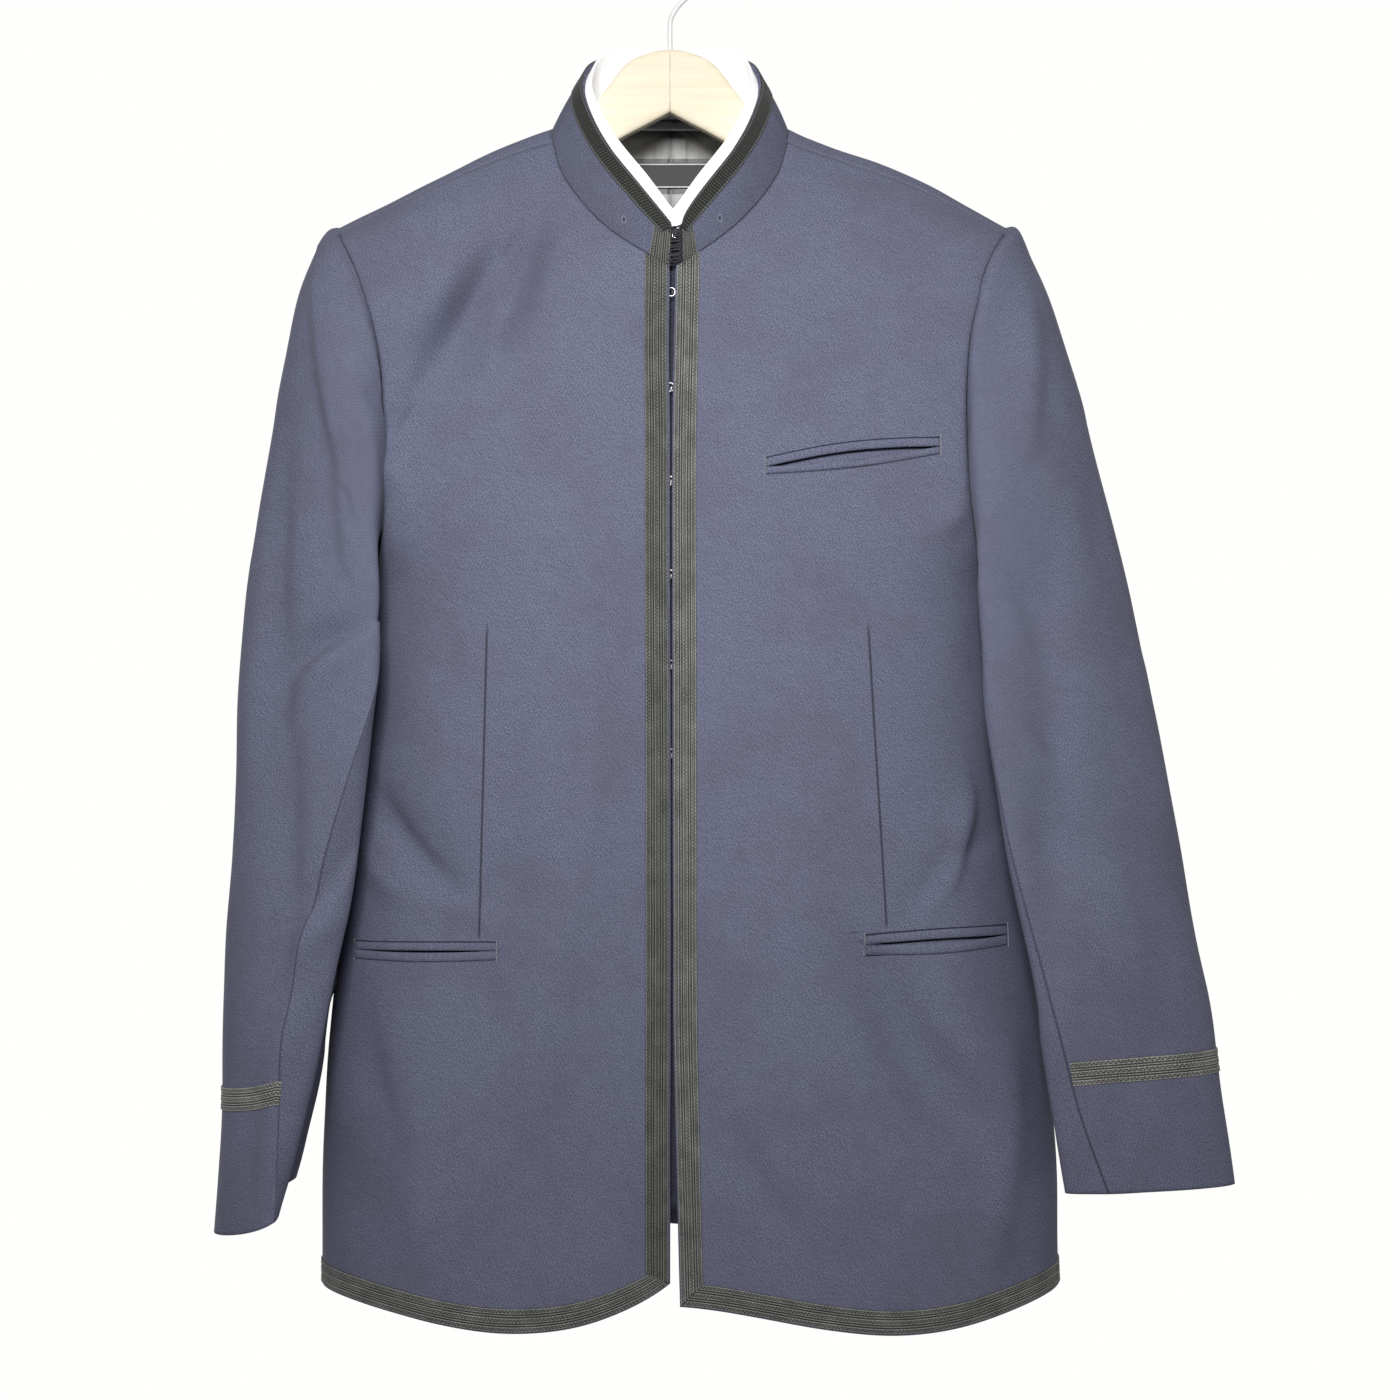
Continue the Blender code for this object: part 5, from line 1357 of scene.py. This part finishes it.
shade = 0.34 + ridge * 0.10 + grosgrain * 0.34 + (thread - 0.5) * 1.5
colour = top_braid.mix(shade.ramp(0.0, 1.0), (0.006, 0.007, 0.006), (0.074, 0.077, 0.067))
stitches = (v * (2 * math.pi / 2.6)).sine().ramp(-0.5, 0.2)
for line in TAPE_STITCHES:
    on_line = 1.0 - abs(u - line).ramp(0.15, 0.75)
    colour = top_braid.mix(on_line * (stitches * 0.35 + 0.22), colour, (0.24, 0.24, 0.25))
along, _ = surface_lengths(points)
braid_uv = np.stack([np.broadcast_to(across, along.shape), along], axis=-1)
_, level_out = collar(shares, np.clip(heights, 0, 1))
tape = grid_object("braid_collar", points, braid_uv,
                   top_braid.finish(colour, ridge * 0.5 + thread * 0.4, 0.0003, 0.8),
                   level_out[:-1, :-1])
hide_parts("collar_braid")

height = np.concatenate([[0.0, 0.008], np.linspace(0.02, 0.98, 60), [0.992, 1.0]])[:, None]
across = braid_columns()[None, :]
for side, hand in HANDS.items():
    from_end = (0.05 + across) / whole_round
    share = from_end if side == RIGHT else 1 - from_end
    tape_foot = np.minimum(COLLAR_TAPE, TAPE_CORNER + across / TAPE_SLANT)
    top = collar_heights(share, tape_foot + 0.2)
    share, up = np.broadcast_arrays(share, height * top)
    points, level_out = collar(share, up)
    tall = path_lengths(points[:, 0])[:, None]
    points = dressed_collar(share, up, braid_lift(across, tall, tall[-1]))
    end_uv = np.stack(np.broadcast_arrays(across, tall), axis=-1)
    # Both collar ends take the left edge's darker copy of the braid: painted shade.
    tape = grid_object("braid_collar_end_" + hand, points, end_uv, EDGE_LIT_AND_SHADED_FINISH[LEFT],
                       level_out[:-1, :-1])
    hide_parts("collar_end_braid_" + hand)


# Neck lining. Grey satin lines the inside of the back, with a seam down its middle and
# small pleats beside it under a darker facing that carries the label.
LINING_DEPTH = -3.6       # from the back's outer face
LINING_REACH = 0.34       # the share of each back half that it covers
LINING_LOW, LINING_WIDE, LINING_TOP = 8.5, 10.0, 11.6    # rows of the back

levels = np.concatenate([np.linspace(LINING_LOW, LINING_WIDE, 32),
                         np.linspace(LINING_WIDE + 0.05, LINING_TOP, 26)])[:, None]
reach = LINING_REACH - np.clip(levels - LINING_WIDE, 0, None) * 0.085
share = reach * np.linspace(0, 1, 70)[None, :]
halves = []
for side in (LEFT, RIGHT):
    points = dressed_panel("back", side, share, np.broadcast_to(levels, share.shape), LINING_DEPTH)
    halves.append(points[:, ::-1] if side == LEFT else points[:, 1:])
points = np.concatenate(halves, axis=1)
x, z = points[..., 0], points[..., 2]
pleats = 0.7 * np.exp(-((np.abs(x) - 9.0) / 1.6) ** 2) + 0.5 * np.exp(-((x + 22) / 2.2) ** 2)
seam_dip = 0.8 * np.exp(-(x / 0.9) ** 2)
above_facing = np.clip((z + 140.0) / 3.0, 0, 1)
points[..., 1] += seam_dip - pleats * above_facing
satin = Finish("lining_satin", 0.42, Specular_IOR_Level=0.5, Anisotropic=0.4)
place, (x, _, z) = satin.coordinates("Object")
threads = satin.noise(place, 900.0, 1.0)
cloudy = satin.noise(place, 70.0, 3.0)
grey = satin.mix(cloudy.ramp(0.3, 0.7), (0.265, 0.261, 0.255), (0.395, 0.388, 0.376))
facing_share = z.ramp(-0.1625, -0.1620) * (1.0 - z.ramp(-0.1388, -0.1383))
grey = satin.mix(facing_share, grey, (0.030, 0.031, 0.034))
# Above the facing, the satin's top is painted near black: painted shade under the collar and the
# hanger.
grey = satin.mix(z.ramp(-0.1290, -0.1200), grey, (0.030, 0.030, 0.032))
satin_seam = 1.0 - abs(x).ramp(0.0003, 0.0011)
grey = satin.mix(satin_seam * 0.6, grey, (0.02, 0.02, 0.02))
lining = grid_object("satin_neck_lining", points, length_map(points),
                     satin.finish(grey, threads * 0.4 + cloudy, 0.0003, 0.5), (0, -1, 0), 0.0005)
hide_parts("neck_lining")


# Neck label. A plain woven label, black with a thin white line along its top and bottom,
# is stitched to the facing. It carries no name.
LABEL_HALF_WIDTH = 32.0
LABEL_LOW, LABEL_HIGH = -158.5, -141.5
LABEL_MIDDLE = (LABEL_LOW + LABEL_HIGH) / 2


def on_back_lining(x, height):
    """The lining's y along x at one height: from the nearer back half, the mean of its
    four nearest points, the closest counting most."""
    rows = np.linspace(LINING_LOW, LINING_WIDE, 60)[:, None]
    share, rows = np.broadcast_arrays(np.linspace(0, LINING_REACH, 60)[None, :], rows)
    found = np.empty(x.shape)
    for side in (LEFT, RIGHT):
        grid = dressed_panel("back", side, share, rows, LINING_DEPTH - 0.9)
        half = (x * side) >= 0
        flat = grid.reshape(-1, 3)
        spots = np.stack([x[half], np.full(half.sum(), height)], axis=-1)
        gaps = np.linalg.norm(spots[:, None, :] - flat[None, :, [0, 2]], axis=-1)
        near = np.argsort(gaps, axis=1)[:, :4]
        weight = 1 / (np.take_along_axis(gaps, near, axis=1) + 0.05)
        found[half] = np.sum(flat[near, 1] * weight, axis=1) / np.sum(weight, axis=1)
    return found


x = np.linspace(-LABEL_HALF_WIDTH, LABEL_HALF_WIDTH, 65)[None, :]
z = np.linspace(LABEL_LOW, LABEL_HIGH, 19)[:, None]
x, z = np.broadcast_arrays(x, z)
tall = LABEL_HIGH - LABEL_LOW
middle_y = on_back_lining(x[0], LABEL_MIDDLE)
smooth = np.polyval(np.polyfit(x[0], middle_y, 4), x[0])
tilt = np.mean(on_back_lining(x[0], LABEL_HIGH) - on_back_lining(x[0], LABEL_LOW)) / tall
points = np.stack([x, smooth[None, :] + tilt * (z - LABEL_MIDDLE), z], axis=-1)
woven = Finish("label_cloth", 0.6)
weave, (_, v, _) = woven.coordinates("UV")
threads = woven.noise(weave, 3.0, 1.0)
black = woven.mix(threads, (0.020, 0.020, 0.023), (0.050, 0.050, 0.055))
white_line = 1.0 - abs(abs(v - tall / 2) - (tall / 2 - 0.9)).ramp(0.25, 0.5)
black = woven.mix(white_line, black, (0.80, 0.81, 0.82))
label_uv = np.stack([x + LABEL_HALF_WIDTH, z - LABEL_LOW], axis=-1)
label = grid_object("neck_label_cloth", points, label_uv,
                    woven.finish(black, threads, 0.0001, 0.5), (0, -1, 0), 0.0004)
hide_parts("neck_label")


# Underlap. A strip of the twill behind the opening, sewn to the left front's edge, that
# ends a hand's breadth above the hem. It backs the hooks.
UNDERLAP_X = (-24.0, -14.0, 2.0, 18.0)
UNDERLAP_SET_BACK = 6.5   # from the left front's outer face
UNDERLAP_HEAD = 27.0      # how far it runs up behind the collar's ends
UNDERLAP_FOOT = 0.50      # the row of the fronts where it ends
UNDERLAP_CLOTH = 1.4 * MM

levels = np.linspace(UNDERLAP_FOOT, NECK_ROW, 160)[:, None]
left_edge = panel("front", LEFT, np.zeros(levels.shape), levels)
left_next = panel("front", LEFT, np.full(levels.shape, 0.045), levels)
slope = (left_next[..., 1] - left_edge[..., 1]) / (left_next[..., 0] - left_edge[..., 0])
across = np.linspace(UNDERLAP_X[0], UNDERLAP_X[-1], 29)[None, :]
behind = np.interp(across, UNDERLAP_X, (0.0, 1.7, 1.9, 1.9))
head = UNDERLAP_HEAD * np.clip(levels - (NECK_ROW - 1), 0, 1)
x, z = np.broadcast_arrays(across, left_edge[..., 2] + head)
y = (left_edge[..., 1] + UNDERLAP_SET_BACK + slope * np.minimum(x, 0) + behind
     + 0.25 * np.sin(z / 21.0) * np.cos(x / 9.0))
points = np.stack([x, y, z], axis=-1)
# The strip takes the twill at a third of its tone: painted shade in the recess behind the opening.
strip = grid_object("cloth_underlap", points, length_map(points),
                    twill("twill_underlap_shaded", tone=0.33), (0, -1, 0), UNDERLAP_CLOTH)
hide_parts("underlap")


# Hooks and eyes. Bent nickel-plated wire: each hook is sewn behind the right edge and
# its nose comes forward through a D-shaped eye sewn behind the left one.
FASTENER_WIRE = 0.45      # radius
FASTENER_HEIGHTS = (-246.0, -306.0, -365.0, -424.0, -481.0, -537.0)
FASTENER_SET_BACK = 2.95  # of the eyes' nearest face behind the left front's edge
COLLAR_FASTENER_HEIGHT = -210.0
COLLAR_FASTENER_SET_BACK = 3.2    # behind the collar's inner face
EYE_MIDDLE = -0.5         # from the middle of the opening
EYE_REACH = 2.2
EYE_HALF_HEIGHT = 2.6
EYE_TAIL, HOOK_TAIL = 5.5, 9.0    # how far they reach from the middle to be sewn
HOOK_BEHIND_EYE = 1.5
plating = Finish("nickel_plate", 0.28, Metallic=1.0)
place, _ = plating.coordinates("Object")
wear = plating.noise(place, 400.0, 2.0)
plate = plating.mix(wear.ramp(0.3, 0.8), (0.60, 0.60, 0.61), (0.84, 0.84, 0.85))
nickel = plating.finish(plate, wear, 0.0001, 0.3)


def fasten(number, x_left, x_right, plane, z, y_front):
    """An eye in a plane behind the left edge, and the hook whose nose stands through it
    and turns down in front of y_front. The top one's nose ends behind its eye."""
    middle = (x_left + x_right) / 2
    tall = EYE_HALF_HEIGHT
    eye = [(middle - EYE_TAIL, plane, z - tall)]
    eye += [(middle + EYE_MIDDLE + EYE_REACH * math.cos(turn), plane, z + tall * math.sin(turn))
            for turn in np.linspace(-math.pi / 2, math.pi / 2, 9)]
    eye += [(middle - EYE_TAIL, plane, z + tall), (middle - EYE_TAIL, plane, z + 0.4 * tall)]
    back = plane + HOOK_BEHIND_EYE
    nose = [(middle + HOOK_TAIL, back, z), (middle + 5.0, back, z), (middle + 1.6, back, z),
            (middle, back - 0.5, z), (middle, plane - 0.2, z),
            (middle, (plane + y_front) / 2, z), (middle, y_front - 0.3, z - 0.3)]
    if number != "1":
        nose += [(middle, y_front - 0.7, z - 1.3), (middle, y_front - 0.7, z - 2.6)]
    for node, path in (("eye_" + number, eye), ("hook_" + number, nose)):
        made = wire("wire_" + node, path, FASTENER_WIRE, 10, nickel)
        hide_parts(node)


fine = np.linspace(0, NECK_ROW, 800)
edges = {side: panel("front", side, 0 * fine, fine) for side in (LEFT, RIGHT)}
for number, height in enumerate(FASTENER_HEIGHTS, start=1):
    x_left = np.interp(height, edges[LEFT][:, 2], edges[LEFT][:, 0])
    x_right = np.interp(height, edges[RIGHT][:, 2], edges[RIGHT][:, 0])
    y_edge = np.interp(height, edges[LEFT][:, 2], edges[LEFT][:, 1])
    plane = y_edge + FASTENER_SET_BACK + FASTENER_WIRE
    fasten(str(number), x_left, x_right, plane, height, plane + 0.8 if number == 1 else y_edge)
collar_y = edges[RIGHT][-1, 1]
fasten("collar", edges[LEFT][-1, 0], edges[RIGHT][-1, 0],
       collar_y + COLLAR_WALL + COLLAR_FASTENER_SET_BACK, COLLAR_FASTENER_HEIGHT, collar_y - 1.2)


# Thread loops. Black thread sews the collar's hook and eye on, in rough loops that lie
# over each other from one end of the collar to the other.
THREAD_LOOPS = 21
THREAD_LOW, THREAD_PITCH = -227.6, 1.13
THREAD_RADIUS = 0.55

black_thread = Finish("black_thread", 0.55)
weave, _ = black_thread.coordinates("UV")
fluff = black_thread.noise(weave, 1.5, 2.0)
thread_colour = black_thread.mix(fluff, (0.008, 0.008, 0.010), (0.035, 0.035, 0.040))
sewing = black_thread.finish(thread_colour, fluff, 0.0002, 0.8)

for loop in range(THREAD_LOOPS):
    z = THREAD_LOW + THREAD_PITCH * loop
    sway = math.sin(loop * 2.4)
    x_left, x_right = 0.5 * sway, 8.3 + 0.7 * math.sin(loop * 1.7)
    y_out = collar_y + (z + 230.3) * 0.07 - 1.4
    path = [(x_left, y_out + 1.2, z - 0.8), (x_left + 0.8, y_out - 0.1, z - 0.4 + 0.5 * sway),
            (4.2, y_out + 0.5 - 0.3 * sway, z + 0.7 * sway),
            (x_right - 0.8, y_out - 0.1, z + 0.6), (x_right, y_out + 1.2, z + 1.0)]
    wire("collar_thread_" + str(loop), path, THREAD_RADIUS, 8, sewing)


# Hanger wood. Two bent halves of pale varnished wood, glued at the middle under the
# hook, widen to rounded shoulders that carry the jacket.

# Stations from the joint out to the tip. A roundness of 1 makes the section an ellipse,
# and less makes it a board.
HANGER_COLUMNS = ("x", "top_z", "height", "depth", "y", "roundness")
HANGER_ROWS = (
    (0.15, -78.4, 41.3, 13, 0, 0.35),
    (14, -80.6, 46.5, 13, 0, 0.35),
    (29, -88.4, 46.6, 13, 0, 0.35),
    (45.6, -109.5, 35.6, 13, 0, 0.4),
    (60, -124.5, 32.0, 13, 1, 0.55),
    (77, -134.3, 31.0, 14, 2, 0.7),
    (124, -152.5, 29.0, 17, 1, 0.85),
    (179, -179.6, 25.0, 21, -1, 0.85),
    (200, -192.2, 20.0, 21, -2.5, 0.85),
    (206, -199.5, 10.0, 14, -3, 0.85),
)

RING_PITCH = 0.0068

wood = Finish("pale_wood", 0.62, Specular_IOR_Level=0.25, Coat_Weight=0.08,
              Coat_Roughness=0.45)
place, (x, y, z) = wood.coordinates("Object")
stretched = wood.node("ShaderNodeVectorMath", {"operation": "MULTIPLY"},
                      {0: place, 1: (14.0, 160.0, 160.0)})
grain = wood.noise(stretched, 1.0, 4.0)
year_rings = ((z + y * 0.4 + grain * 0.010) * (2 * math.pi / RING_PITCH)).sine()
broad = wood.noise(place, 22.0, 2.0)
tone = wood.mix(grain.ramp(0.3, 0.75), (0.93, 0.855, 0.675), (0.88, 0.79, 0.60))
tone = wood.mix(year_rings.ramp(0.0, 1.0) * 0.14, tone, (0.80, 0.67, 0.46))
tone = wood.mix(broad.ramp(0.4, 0.8) * 0.3, tone, (0.96, 0.89, 0.73))
joint = (1.0 - abs(x).ramp(0.0, 0.0005)) * 0.14
tone = wood.mix(joint, tone, (0.35, 0.22, 0.11))
wood_finish = wood.finish(tone, grain * 0.5, 0.00015, 0.3)

rows = np.concatenate([[0, 0.005], np.linspace(0.1, 8, 90), np.linspace(8.05, 9, 16)])
stations = np.arange(len(HANGER_ROWS), dtype=float)
table = {name: through(column(HANGER_ROWS, HANGER_COLUMNS, name), rows, stations)
         for name in HANGER_COLUMNS}
around = np.linspace(0, 2 * math.pi, 73)[None, :]
power = np.clip(table["roundness"], 0.3, 1.0)[:, None]
cosine = np.sign(np.cos(around)) * np.abs(np.cos(around)) ** power
sine = np.sign(np.sin(around)) * np.abs(np.sin(around)) ** power
middle = table["top_z"] - table["height"] / 2
for side, hand in HANDS.items():
    rings = np.stack([
        np.broadcast_to(side * table["x"][:, None], cosine.shape),
        table["y"][:, None] + table["depth"][:, None] / 2 * cosine,
        middle[:, None] + table["height"][:, None] / 2 * sine], axis=-1)
    last = rings[-1]
    for shrink in (0.8, 0.45, 0.0):
        tip = rings[-1][:-1].mean(axis=0) + (last - last[:-1].mean(axis=0)) * shrink
        tip[:, 0] += side * 0.48 * (1 - shrink)
        rings = np.concatenate([rings, tip[None]])
    start = np.broadcast_to(rings[0][:-1].mean(axis=0), rings[0].shape)
    rings = np.concatenate([start[None], rings])
    outward = rings - rings[:, :-1].mean(axis=1, keepdims=True)
    half = grid_object("wood_" + hand, rings, length_map(rings), wood_finish,
                       outward[:-1, :-1])
    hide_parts("hanger_wood_" + hand)


# Hanger hook. White coated wire screwed into the wood at the joint. It rises straight,
# bends out to the right and comes over in an arc to a rounded tip.
HOOK_WIRE = 1.6           # radius
HOOK_BEND = 22.0          # inside radius of the arc
SHANK_DEPTH = 11.4        # how far it goes into the wood

coating = Finish("white_coating", 0.3, Specular_IOR_Level=0.5)
place, _ = coating.coordinates("Object")
dust = coating.noise(place, 150.0, 3.0)
coat = coating.mix(dust.ramp(0.4, 0.8), (0.88, 0.88, 0.87), (0.80, 0.80, 0.78))
white = coating.finish(coat, dust, 0.0001, 0.3)
wood_top = HANGER_ROWS[0][1]
path = [(0, 0, wood_top - SHANK_DEPTH), (0, 0, wood_top + 4), (0, 0, -62), (1.2, 0, -56),
        (6.0, 0, -48.5)]
radius = HOOK_BEND + HOOK_WIRE
path += [(radius * math.cos(turn), 0, -HOOK_BEND + radius * math.sin(turn))
         for turn in np.radians(np.linspace(-52, 200, 19))]
hook = wire("wire_hanger_hook", path, HOOK_WIRE, 20, white)
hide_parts("hanger_hook")
